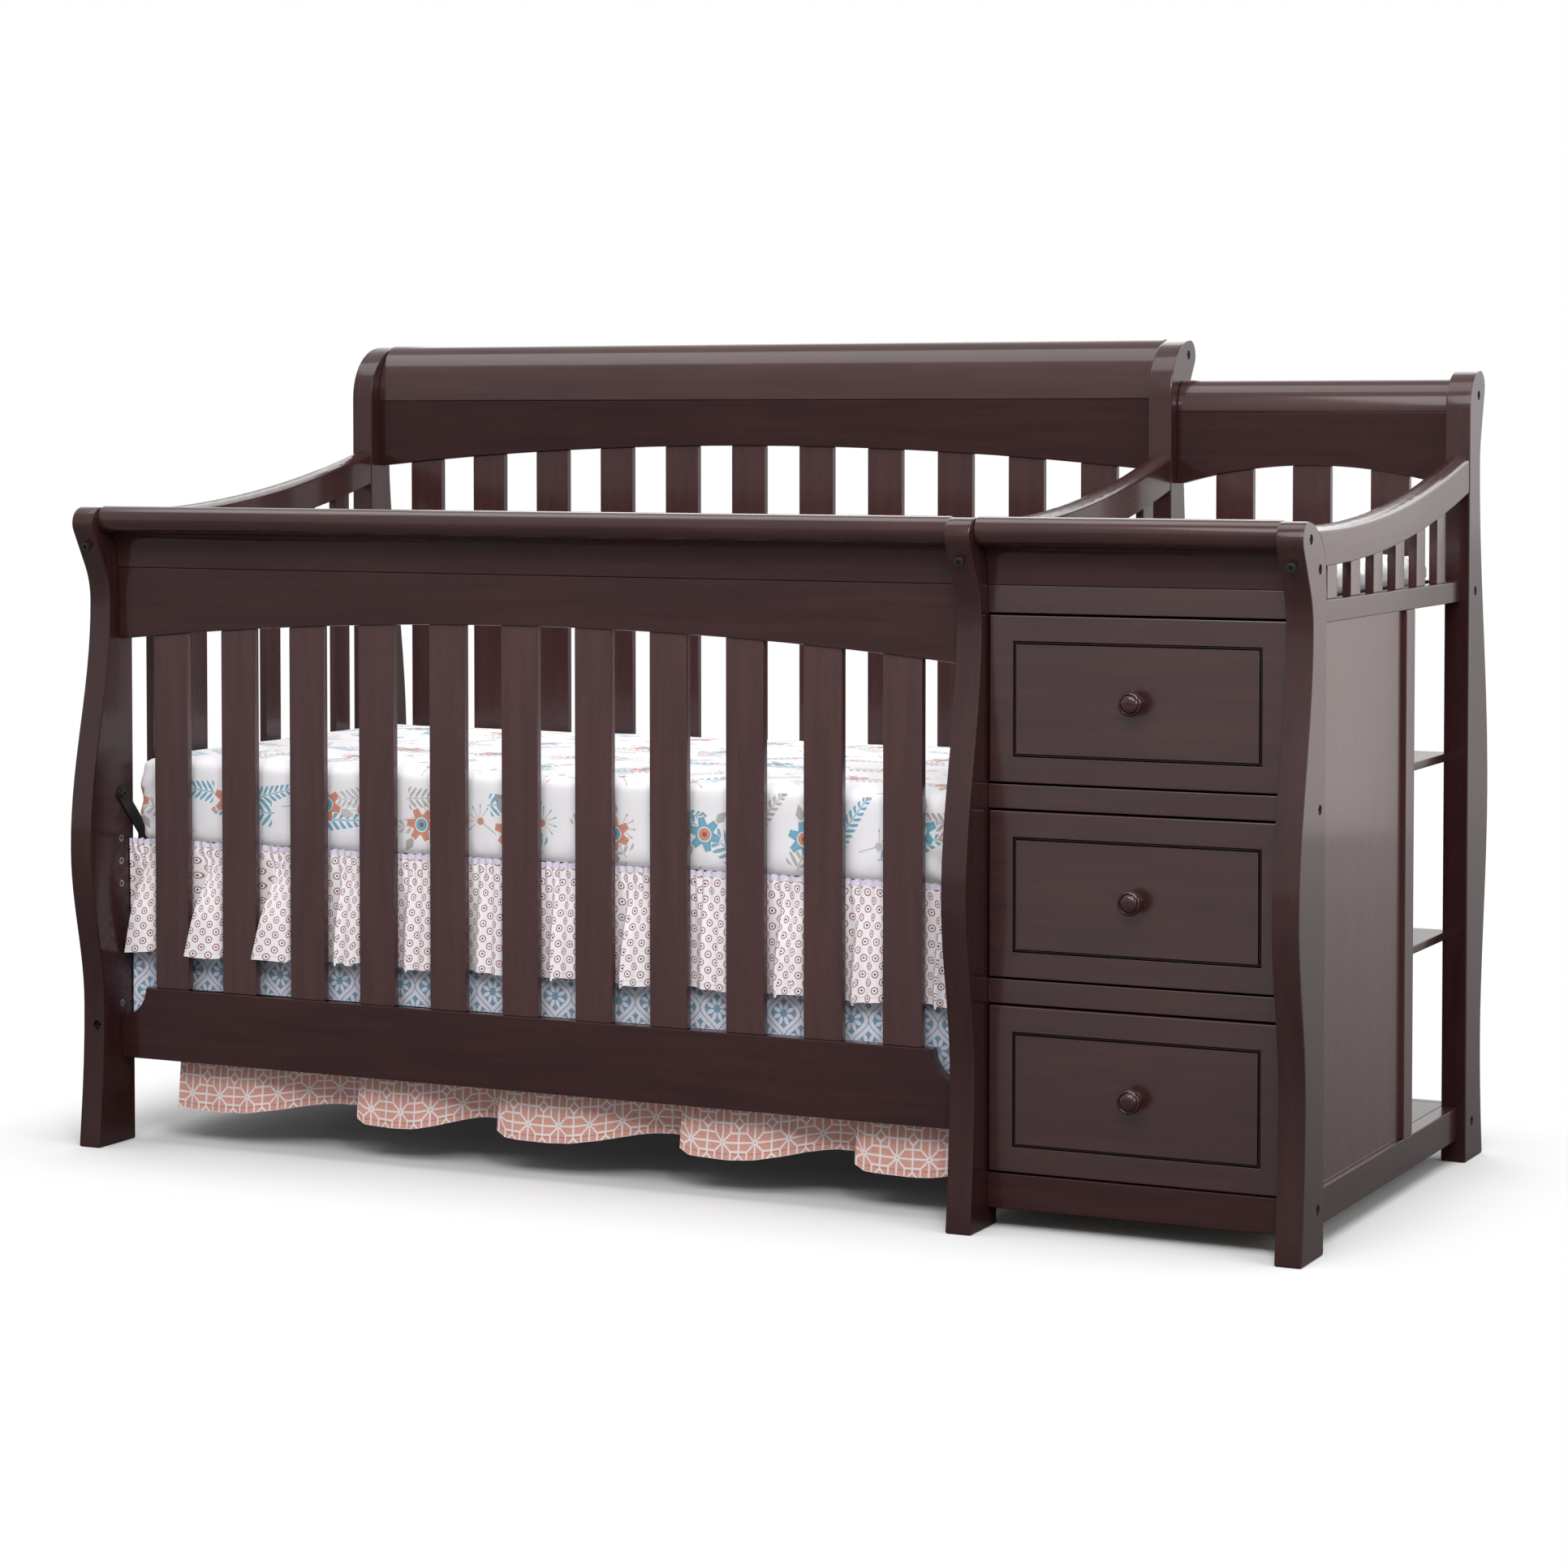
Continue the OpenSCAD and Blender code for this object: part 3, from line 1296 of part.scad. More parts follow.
module threaded_inserts() {
    color(steel) for (p = insert_places, h = insert_heights) {
        tip = p[0] + p[1] * insert_len;
        difference() {
            rod_x(min(p[0], tip), max(p[0], tip), p[2], h, nut_dia);
            rod_x(min(p[0], tip) - cut, max(p[0], tip) + cut, p[2], h, bolt_dia - 1);
        }
    }
}

// ---- soft goods ----

// A ring of points round a rectangle of size w x d whose corners have radius r and whose
// sides are drawn in by pull at their middles, at height z, about the centre c
function cushion_ring(c, w, d, r, pull, z, nc, ns) =
    let (
        hw = w / 2 - r,
        hd = d / 2 - r,
        quad = [[hw, hd, 0], [-hw, hd, 90], [-hw, -hd, 180], [hw, -hd, 270]]
    )
    [for (k = [0:3]) let (q = quad[k], n = quad[(k + 1) % 4]) each concat(
        [for (i = [0:nc - 1]) let (a = q[2] + 90 * i / (nc - 1))
            [c[0] + q[0] + r * cos(a), c[1] + q[1] + r * sin(a), z]],
        [for (i = [1:ns]) let (
            t = i / (ns + 1),
            a = q[2] + 90,
            in_pull = pull * sin(180 * t),
            px = q[0] + (n[0] - q[0]) * t + (r - in_pull) * cos(a),
            py = q[1] + (n[1] - q[1]) * t + (r - in_pull) * sin(a)
        ) [c[0] + px, c[1] + py, z]]
    )];

// A closed cushion: crown lifts the middle of its top, and a negative crown dips it
module cushion(c, w, d, z, h, edge, corner, pull, crown) {
    nc = 5;
    ns = 5;
    n = 4 * (nc + ns);
    side = [for (i = [0:3]) let (a = -90 + 30 * i) [edge * (1 - cos(a)), edge * (1 + sin(a))]];
    top = [for (i = [0:3]) let (a = 30 * i) [edge * (1 - cos(a)), h - edge * (1 - sin(a))]];
    inner = [for (i = [1:3]) let (t = i / 4)
        [edge + t * (min(w, d) / 2 - edge - 2), h + crown * sin(90 * t)]];
    levels = concat(side, top, inner);
    rings = [for (l = levels) let (s = min(w, d) / 2 - l[0])
        cushion_ring(c, w - 2 * l[0], d - 2 * l[0], max(min(corner - l[0], s - 1), 1.5), pull, z + l[1], nc, ns)];
    m = len(levels);
    points = concat([for (r = rings) each r], [[c[0], c[1], z], [c[0], c[1], z + h + crown]]);
    sides = [for (j = [0:m - 2], i = [0:n - 1]) let (k = (i + 1) % n)
        each [[j * n + i, (j + 1) * n + k, j * n + k], [j * n + i, (j + 1) * n + i, (j + 1) * n + k]]];
    floor_fan = [for (i = [0:n - 1]) [m * n, i, (i + 1) % n]];
    top_fan = [for (i = [0:n - 1]) [m * n + 1, (m - 1) * n + (i + 1) % n, (m - 1) * n + i]];
    polyhedron(points, concat(sides, floor_fan, top_fan), 6);
}

module mattress() {
    w = crib_inner_len - 2 * mattress_end_gap;
    d = crib_inner_wid - 2 * mattress_side_gap;
    color(sheet_cloth) cushion([(x_left_in + x_mid) / 2, (y_rail_f + y_rail_b) / 2], w, d,
        mattress_z, mattress_thk - mattress_crown, mattress_edge_r, 50, 2.5, mattress_crown);
}

module changing_pad() {
    w = changer_inner_len - 2 * pad_gap;
    d = end_span - 2 * pad_gap;
    color(sheet_cloth) cushion([drawer_x, (y_post_f + y_post_b) / 2], w, d,
        changer_top_z + changer_top_thk + 0.3, pad_thk, pad_edge_r, 34, 2, -pad_dip);
}

// One hanging panel of the skirt as a folded strip of three tiers. It hangs along local x
// from 0 to len; local y is its depth behind the plane that the folds touch.
skirt_top_z = frame_top_z - 0.2; // the panels hang from the deck cloth's edge
tier_step = 16; // how far each tier lies behind the one above
skew = 1.8; // how far each broad fold leans to one side

// Depth of the narrow folds, one for each slat and its gap, and of the broad folds
function narrow_fold(x, pitch) = (1 - cos(360 * x / pitch)) / 2;
function broad_fold(x, pitch) =
    let (f = x / pitch - floor(x / pitch)) (1 - cos(360 * pow(f, skew))) / 2;

module skirt_panel(len, n, pitch, inset) {
    d1 = fold_depth;
    d2 = 0.6 * fold_depth;
    d3 = 1.6 * fold_depth;
    lift = 16; // rise of the hem where a broad fold lies back
    // Each row: height, depth, narrow folds, broad folds, drawn-in ends, lift
    rows = [
        [skirt_top_z, 1, 0, 0, 0, 0],
        [skirt_top_z - 40, 1, 0.2 * d1, 0, 0, 0],
        [top_tier_z, 1, d1, 0, 0, 0],
        [top_tier_z, 1 + tier_step, d2, 0, 0, 0],
        [middle_tier_z, tier_step, d2, 0, 0, 0],
        [middle_tier_z, 6 + tier_step, 0, d2, inset, 0],
        [bottom_tier_z, tier_step - 4, 0, d3, inset, lift],
        [bottom_tier_z, tier_step - 4 + cloth_thk, 0, d3, inset, lift],
        [middle_tier_z + cloth_thk, 6 + tier_step + cloth_thk, 0, d2, inset, 0],
        [top_tier_z + cloth_thk, 1 + tier_step + cloth_thk, d2, 0, 0, 0],
        [skirt_top_z - 40, 1 + cloth_thk, 0.2 * d1, 0, 0, 0],
        [skirt_top_z, 1 + cloth_thk, 0, 0, 0, 0]
    ];
    m = len(rows);
    points = [for (i = [0:n]) each [for (r = rows)
        let (
            x = r[4] + (len - 2 * r[4]) * i / n,
            broad = broad_fold(x - r[4], fold_len)
        )
        [x, r[1] + r[2] * narrow_fold(x, pitch) + r[3] * broad, r[0] + r[5] * broad]]];
    walls = [for (i = [0:n - 1], j = [0:m - 1]) let (k = (j + 1) % m)
        each [[i * m + j, (i + 1) * m + k, i * m + k], [i * m + j, (i + 1) * m + j, (i + 1) * m + k]]];
    // The end caps pair each front row with the back row at its height
    pairs = [[0, 11], [1, 10], [2, 9], [3, 9], [4, 8], [5, 8], [6, 7]];
    cap = [for (i = [0:5]) let (a = pairs[i], b = pairs[i + 1])
        each concat([[a[0], b[0], a[1]]], a[1] == b[1] ? [] : [[a[1], b[0], b[1]]])];
    far_cap = [for (f = cap) [n * m + f[2], n * m + f[1], n * m + f[0]]];
    polyhedron(points, concat(walls, cap, far_cap), 6);
}

skirt_clear = 0.6;
deck_gap = hanger_thk + 0.6; // from a post's face to the deck cloth
skirt_corner = 10; // top tier from a post's face
skirt_low_inset = 70; // the bottom tier starts farther in
skirt_end_in = 55; // an end panel from the posts' straight edges

module bed_skirt() {
    front_len = crib_inner_len - 2 * skirt_corner;
    end_len = end_span - 2 * skirt_end_in;
    color(skirt_cloth) {
        translate([x_left_in + skirt_corner, y_rail_f + skirt_clear, 0])
            skirt_panel(front_len, 46, slat_w + slat_gap, skirt_low_inset);
        translate([x_mid - skirt_corner, y_rail_b - skirt_clear, 0]) rotate([0, 0, 180])
            skirt_panel(front_len, 22, 2 * (slat_w + slat_gap), skirt_low_inset);
        translate([x_left_in + skirt_clear, y_post_b - skirt_end_in, 0]) rotate([0, 0, -90])
            skirt_panel(end_len, 14, 2 * (end_slat_w + end_slat_gap), 4);
        translate([x_mid - skirt_clear, y_post_f + skirt_end_in, 0]) rotate([0, 0, 90])
            skirt_panel(end_len, 14, 2 * (end_slat_w + end_slat_gap), 4);
        translate([x_left_in + deck_gap, y_rail_f + skirt_clear + 1, frame_top_z])
            cube([crib_inner_len - 2 * deck_gap, crib_inner_wid - 2 * skirt_clear - 2, deck_thk]);
    }
}

front_left_post();
front_middle_post();
front_right_post();
back_left_post();
back_middle_post();
back_right_post();
front_crown_rail();
front_arched_rail();
front_slats();
front_bottom_rail();
back_crown_rail();
back_arched_rail();
back_slats();
back_bottom_rail();
left_curved_rail();
left_slats();
left_bottom_rail();
middle_curved_rail();
middle_slats();
middle_upper_rail();
middle_panel();
middle_bottom_rail();
right_curved_rail();
right_slats();
right_upper_rail();
right_panel();
right_stile();
right_bottom_rail();
changer_crown_rail();
changer_back_crown();
changer_back_arched_rail();
changer_back_slats();
changer_back_rails();
cabinet_top_rail();
drawer_dividers();
cabinet_bottom_rail();
changer_top();
cabinet_back_panel();
rear_shelves();
cabinet_runners();
spring_frame();
frame_hangers();
mattress();
bed_skirt();
changing_pad();
rail_bolts();
barrel_nuts();
threaded_inserts();
drawer_1_front();
drawer_1_box();
drawer_1_knob();
drawer_1_runners();
drawer_2_front();
drawer_2_box();
drawer_2_knob();
drawer_2_runners();
drawer_3_front();
drawer_3_box();
drawer_3_knob();
drawer_3_runners();
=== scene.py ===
import math

import bmesh
import bpy
import numpy as np
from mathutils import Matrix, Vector


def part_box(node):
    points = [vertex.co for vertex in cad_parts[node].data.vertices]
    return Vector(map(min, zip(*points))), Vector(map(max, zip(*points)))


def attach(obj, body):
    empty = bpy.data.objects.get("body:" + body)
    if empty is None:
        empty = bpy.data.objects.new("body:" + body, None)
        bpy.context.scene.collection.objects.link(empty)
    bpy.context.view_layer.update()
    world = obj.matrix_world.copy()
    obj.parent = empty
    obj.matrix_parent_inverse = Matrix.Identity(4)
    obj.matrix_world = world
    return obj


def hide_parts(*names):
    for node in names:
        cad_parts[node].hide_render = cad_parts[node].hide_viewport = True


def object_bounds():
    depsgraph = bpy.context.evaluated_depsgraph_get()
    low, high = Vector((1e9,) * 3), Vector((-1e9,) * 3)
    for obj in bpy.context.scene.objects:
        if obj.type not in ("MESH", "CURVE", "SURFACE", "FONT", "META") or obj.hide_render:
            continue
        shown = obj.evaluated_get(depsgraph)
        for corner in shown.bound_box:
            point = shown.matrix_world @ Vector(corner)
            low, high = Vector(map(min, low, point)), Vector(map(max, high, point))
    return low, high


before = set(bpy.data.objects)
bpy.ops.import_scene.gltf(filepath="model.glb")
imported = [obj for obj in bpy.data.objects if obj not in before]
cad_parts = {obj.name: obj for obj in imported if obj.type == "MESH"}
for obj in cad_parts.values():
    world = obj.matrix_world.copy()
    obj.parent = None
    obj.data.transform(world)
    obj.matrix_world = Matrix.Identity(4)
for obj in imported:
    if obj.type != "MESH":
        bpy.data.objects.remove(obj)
cadBox = [list(corner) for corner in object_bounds()]
print("frame loaded:", len(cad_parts), "nodes")


# node helpers: a number in a material with Python's own operators

class Signal:
    def __init__(self, finish, socket):
        self.finish = finish
        self.socket = socket

    def maths(self, operation, *values):
        return self.finish.node("ShaderNodeMath", {"operation": operation}, dict(enumerate(values)))

    def __add__(self, other):
        return self.maths("ADD", self, other)

    def __sub__(self, other):
        return self.maths("SUBTRACT", self, other)

    def __rsub__(self, other):
        return self.maths("SUBTRACT", other, self)

    def __mul__(self, other):
        return self.maths("MULTIPLY", self, other)

    def __truediv__(self, other):
        return self.maths("DIVIDE", self, other)

    def __mod__(self, other):
        return self.maths("FLOORED_MODULO", self, other)

    def __abs__(self):
        return self.maths("ABSOLUTE", self)

    def __and__(self, other):  # where both are high
        return self.maths("MINIMUM", self, other)

    def __or__(self, other):  # where either is high
        return self.maths("MAXIMUM", self, other)

    __radd__ = __add__
    __rmul__ = __mul__

    def floor(self):
        return self.maths("FLOOR", self)

    def sine(self):
        return self.maths("SINE", self)

    def cosine(self):
        return self.maths("COSINE", self)

    def angle(self, across):  # of the point (across, self)
        return self.maths("ARCTAN2", self, across)

    def root(self):
        return self.maths("SQRT", self)

    def fade(self, low, high):  # 0 at low, 1 at high, smooth between them
        return self.finish.node("ShaderNodeMapRange", {"interpolation_type": "SMOOTHSTEP"},
                                {"Value": self, "From Min": low, "From Max": high})


class Finish:
    def __init__(self, name, settings):
        self.material = bpy.data.materials.new(name)
        self.material.use_nodes = True
        self.tree = self.material.node_tree
        self.shader = self.tree.nodes["Principled BSDF"]
        for socketName, value in settings.items():
            self.join(self.shader.inputs[socketName], value)

    def join(self, socket, value):
        if isinstance(value, Signal):
            self.tree.links.new(value.socket, socket)
        elif isinstance(value, tuple) and len(value) == 3 and len(getattr(socket, "default_value", ())) == 4:
            socket.default_value = (*value, 1)
        else:
            socket.default_value = value

    def node(self, kind, settings=None, sockets=None, output=0):
        made = self.tree.nodes.new(kind)
        for key, value in (settings or {}).items():
            setattr(made, key, value)
        for key, value in (sockets or {}).items():
            self.join(made.inputs[key], value)
        return Signal(self, made.outputs[output])

    def mix(self, share, first, second):
        return self.node("ShaderNodeMix", {"data_type": "RGBA"}, {0: share, 6: first, 7: second}, 2)

    def layered(self, base, *layers):  # each layer is a share and a colour, laid over those before it
        for share, colour in layers:
            base = self.mix(share, base, colour)
        return base

    def parts(self, vector, count=3):
        return [self.node("ShaderNodeSeparateXYZ", {}, {0: vector}, i) for i in range(count)]

    def point(self, *values):
        return self.node("ShaderNodeCombineXYZ", {}, dict(enumerate(values)))

    def clothPlace(self):
        uv = self.node("ShaderNodeTexCoord", output="UV")
        return (*self.parts(uv, 2), uv)

    def noise(self, place, scale, detail=2, roughness=0.5):
        return self.node("ShaderNodeTexNoise", {}, {"Vector": place, "Scale": scale, "Detail": detail,
                                                    "Roughness": roughness})

    def grain(self, scale, detail=2, roughness=0.5, move=(0, 0, 0)):  # noise that stays with the piece
        place = self.node("ShaderNodeTexCoord", output="Object")
        place = self.node("ShaderNodeMapping", {}, {"Vector": place, "Location": move, "Scale": scale})
        return self.noise(place, 1, detail, roughness)

    def bump(self, height, strength, distance, under=None):
        sockets = {"Height": height, "Strength": strength, "Distance": distance}
        return self.node("ShaderNodeBump", {}, {**sockets, **({"Normal": under} if under else {})})

    def put(self, socketName, value):
        self.join(self.shader.inputs[socketName], value)


def tone(red, green, blue):  # a screen colour as the linear one that materials take
    return tuple((c / 255 / 12.92) if c < 10.3 else ((c / 255 + 0.055) / 1.055) ** 2.4 for c in (red, green, blue))


# finishes

stain = {"deep": tone(46, 23, 24), "light": tone(56, 30, 30), "pore": tone(31, 13, 15),
         "coat": 0.36, "coatRoughness": 0.10, "roughness": 0.27, "specular": 0.18}


def stainedWood(name, alongGrain, lift=1.0, gloss=1.0, coat=1.0):
    stretch = [1.0, 1.0, 1.0]
    stretch["xyz".index(alongGrain)] = 0.07
    finish = Finish(name, {"Coat Weight": stain["coat"] * coat, "Coat Roughness": stain["coatRoughness"],
                           "Specular IOR Level": stain["specular"] * gloss})
    grain = finish.grain(tuple(s * 60 for s in stretch), 4, 0.62, (0.3, 0.7, 0.1))
    pores = finish.grain(tuple(s * 620 for s in stretch), move=(1.3, 2.7, 0.4))
    clouds = finish.grain((3.5, 3.5, 3.5), move=(4.1, 0.2, 0.9))
    deep, light = (tuple(c * lift for c in stain[shade]) for shade in ("deep", "light"))
    stained = finish.mix((grain * 0.75 + clouds * 0.25).fade(0.32, 0.68), deep, light)
    poreShade = pores.fade(0.60, 0.72)
    finish.put("Base Color", finish.mix(poreShade * 0.55, stained, stain["pore"]))
    finish.put("Roughness", stain["roughness"] - 0.05 + 0.10 * clouds + 0.06 * poreShade)
    finish.put("Normal", finish.bump(0.6 * grain - poreShade, 0.05, 0.0003))
    return finish.material


woodX = stainedWood("stainedWoodLong", "x")
woodCrown = stainedWood("stainedWoodCrown", "x", 1.05, 0.7, 1.6)
# a darker, duller copy of the stain: painted shade on the back boards
shadedRearWood = stainedWood("paintedShadeRearWood", "x", 0.7, 0.3, 0.6)
# a darker copy of the slat stain: painted shade on the back, left and middle slats
shadedRearSlatWood = stainedWood("paintedShadeRearSlatWood", "z", 1.1, 1.4, 0.8)
woodY = stainedWood("stainedWoodDeep", "y")
woodZ = stainedWood("stainedWoodTall", "z", 0.92)
woodSlat = stainedWood("stainedWoodSlat", "z", 1.6, 2.5)
# a lighter copy of the stain: painted light on the panels
litPanelWood = stainedWood("paintedLightPanelWood", "z", 1.7, 1.8)
woodDrawer = stainedWood("stainedWoodDrawer", "x", 1.08, 3.4)


def mottledWood(name, settings, scale, detail, roughness, dark, light, relief):
    finish = Finish(name, settings)
    spots = finish.grain(scale, detail, roughness)
    finish.put("Base Color", finish.mix(spots.fade(0.35, 0.7), dark, light))
    finish.put("Normal", finish.bump(spots, relief, 0.0003))
    return finish.material


def rawBoard():
    finish = Finish("drawerBoard", {"Specular IOR Level": 0.3})
    grain = finish.grain((70, 9, 70), 4, 0.6)
    rings = finish.grain((340, 26, 340), move=(2, 1, 0))
    board = finish.mix(grain.fade(0.3, 0.7), tone(196, 164, 122), tone(218, 190, 150))
    finish.put("Base Color", finish.mix(rings.fade(0.58, 0.7) * 0.4, board, tone(168, 134, 94)))
    finish.put("Roughness", 0.52 + 0.1 * grain)
    finish.put("Normal", finish.bump(rings, 0.08, 0.0003))
    return finish.material


def metalFinish(name, colour, roughness, metallic, scratch):
    finish = Finish(name, {"Metallic": metallic})
    fine = finish.grain((420, 60, 420))
    broad = finish.grain((22, 22, 22), 3)
    finish.put("Base Color", finish.mix(broad.fade(0.3, 0.7), tuple(c * 0.82 for c in colour), colour))
    finish.put("Roughness", roughness - 0.06 + 0.12 * broad)
    finish.put("Normal", finish.bump(fine, scratch, 0.0002))
    return finish.material


# painted shade darkens the routed groove
grooveShadePaint = mottledWood("paintedGrooveShade", {"Specular IOR Level": 0.15, "Roughness": 0.5}, (240, 240, 240), 2, 0.5,
                          tone(16, 8, 9), tone(30, 15, 16), 0.1)
knobWood = mottledWood("knobLacquer", {"Coat Weight": 0.8, "Coat Roughness": 0.03, "Roughness": 0.2,
                                       "Specular IOR Level": 0.1},
                       (160, 30, 160), 3, 0.6, tone(40, 14, 16), tone(58, 23, 25), 0.05)
drawerBoard = rawBoard()
zincSteel = metalFinish("zincSteel", tone(186, 190, 196), 0.36, 1.0, 0.06)
blackSteel = metalFinish("blackSteel", tone(34, 33, 35), 0.42, 0.25, 0.10)
print("hard finishes made")


# prints on cloth: u and v are metres on the flat cloth

def clothBase(name, sheen=0.12):
    return Finish(name, {"Sheen Weight": sheen, "Sheen Roughness": 0.45, "Specular IOR Level": 0.25,
                         "Roughness": 0.86})


def weave(finish, u, v, pitch, strength, creases):
    threads = (u * (2 * math.pi / pitch)).sine() * (v * (2 * math.pi / pitch)).sine()
    fuzz = finish.noise(finish.point(u, v), 900)
    woven = finish.bump(threads * 0.5 + fuzz, strength, 0.0003)
    soft = finish.noise(finish.point(u, v * 0.45), 26, 2, 0.45)
    finish.put("Normal", finish.bump(soft, creases, 0.004, woven))


def hemStitchShade(v, hemHeight):  # a line of stitches along a folded hem, with painted shade of the fold along it
    return 1 - abs(v - hemHeight).fade(0.0003, 0.0011)


def length(x, y):
    return (x * x + y * y).root()


ringDotLook = {"pitch": (0.0202, 0.0108), "squash": 0.93, "wobble": 0.0011, "ring": 0.0041,
               "ringEdge": (0.0005, 0.00095), "hollow": (0.0034, 0.0040), "dot": (0.0010, 0.0017),
               "header": (0.1535, 0.1550), "hem": 0.007}


def ringDotCloth():
    look = ringDotLook
    finish = clothBase("ringDotCloth")
    u, v, uv = finish.clothPlace()
    pitchU, pitchV = look["pitch"]
    row = (v / pitchV).floor()
    x = ((u + (row % 2) * (pitchU / 2)) % pitchU) - pitchU / 2
    y = ((v % pitchV) - pitchV / 2) * look["squash"]
    r = length(x, y) + (finish.noise(uv, 190, 1) - 0.5) * look["wobble"]
    ring = 1 - abs(r - look["ring"]).fade(*look["ringEdge"])
    hollow, dot, header = 1 - r.fade(*look["hollow"]), 1 - r.fade(*look["dot"]), v.fade(*look["header"])
    # the hem line is a stitch line darkened with painted shade
    finish.put("Base Color", finish.layered(
        tone(238, 233, 238), (hemStitchShade(v, look["hem"]) * 0.5, tone(196, 186, 190)), (hollow, tone(246, 240, 241)),
        (ring, tone(158, 106, 92)), (dot, tone(52, 30, 62)), (header, tone(216, 208, 226))))
    weave(finish, u, v, 0.0011, 0.22, 0.20)
    return finish.material


ogeeLook = {"size": (0.051, 0.070), "swell": 0.32, "band": (0.0062, 0.0067), "thread": (0.0004, 0.0009),
            "rim": (0.0002, 0.0007), "petals": 8, "petalAt": 0.0105, "petalLength": 0.0056, "petalWidth": 0.0028}


def ogeeCloth():
    look = ogeeLook
    finish = clothBase("ogeeCloth")
    u, v, uv = finish.clothPlace()
    width, height = look["size"]
    wave = v * (2 * math.pi / height)
    x = (u % width) - width / 2
    waist = wave.cosine() * (width / 4) + width / 4
    side = abs(abs(x) - waist) * (1 - abs(wave.sine()) * look["swell"])
    band = 1 - side.fade(*look["band"])
    thread = 1 - side.fade(*look["thread"])
    rim = 1 - abs(side - look["band"][1]).fade(*look["rim"])

    def daisy(moveU, moveV):  # long petals about a small eye
        px = ((u + moveU) % width) - width / 2
        py = (((v + moveV) % height) - height / 2) * 0.95
        r = length(px, py)
        share = 2 * math.pi / look["petals"]
        turn = ((py.angle(px) / share) % 1 - 0.5) * share
        along = (r * turn.cosine() - look["petalAt"]) / look["petalLength"]
        across = r * turn.sine() / look["petalWidth"]
        return 1 - (along * along + across * across).fade(0.85, 1.15)

    daisies = daisy(0, height / 2) | daisy(width / 2, 0)
    chalky = finish.noise(uv, 420, 2, 0.6)
    blue = finish.mix(chalky.fade(0.3, 0.7), tone(108, 148, 178), tone(136, 172, 196))
    pale = tone(226, 224, 234)
    finish.put("Base Color", finish.layered(
        blue, (band, pale), ((thread | rim) * 0.85, tone(96, 136, 170)), (daisies, pale)))
    weave(finish, u, v, 0.0011, 0.22, 0.2)
    return finish.material


latticeLook = {"pitch": 0.048, "line": (0.00098, 0.00158), "bend": 0.0016, "diamond": 0.0072,
               "diamondHole": 0.0066, "eye": 0.0016, "hem": 0.008}


def starLatticeCloth():  # eight-pointed stars joined by a lattice, a diamond at each corner
    look = latticeLook
    finish = clothBase("starLatticeCloth")
    u, v, uv = finish.clothPlace()
    pitch, slant = look["pitch"], math.sqrt(0.5)
    bend = finish.noise(uv, 34, 1) * look["bend"]
    x = abs(((u + bend) % pitch) - pitch / 2)
    y = abs(((v + bend) % pitch) - pitch / 2)

    def line(distance):
        return 1 - distance.fade(*look["line"])

    def past(distance):
        return distance.fade(-0.0002, 0.0002)

    inner = pitch / 4
    spokes = line(abs(x - y) * slant) & (1 - past((x | y) - inner))
    ladders = (line(abs(x - inner)) & past(y - inner)) | (line(abs(y - inner)) & past(x - inner))
    edges = line(pitch / 2 - x) | line(pitch / 2 - y)
    corner = pitch - x - y
    diamond = line(abs(corner - look["diamond"]) * slant)
    diamondHole = 1 - past(corner - look["diamondHole"])
    eyeHole = 1 - past(x + y - look["eye"])
    lines = ((spokes | ladders | edges | line(x & y)) & (1 - diamondHole)) | diamond
    lines = lines & (1 - eyeHole)
    slub = finish.noise(finish.point(u * 0.25, v), 700)
    ground = finish.mix(slub.fade(0.3, 0.7), tone(206, 148, 135), tone(219, 164, 150))
    # the hem line is a stitch line darkened with painted shade
    finish.put("Base Color", finish.layered(
        ground, (hemStitchShade(v, look["hem"]) * 0.7, tone(168, 108, 96)), (lines, tone(232, 224, 226))))
    weave(finish, u, v, 0.0012, 0.25, 0.2)
    return finish.material


def inside(distance):
    return 1 - distance.fade(-0.0003, 0.0003)


# each motif's layout: pitch, its shift along and up, seed, how far it strays, size
meadowLook = {
    "sprigs": ((0.131, 0.061, 0.057, 11, 0.018, 1.3), (0.149, 0.017, 0.041, 31, 0.018, 1.6)),
    "umbels": (0.103, 0.037, 0.052, 23, 0.026, 1.45), "flowers": (0.157, 0.020, 0.012, 3, 0.040, 1.45),
    "sprigHalf": 0.030, "leafPitch": 0.0074, "stem": 0.0005, "buds": (0.0052, 0.0026), "beadRing": 0.0142,
    "bead": 0.0019, "foot": 0.0036, "petal": (0.0095, 0.0085, 0.0018), "hearts": (0.0072, 0.0062, 0.0024),
}


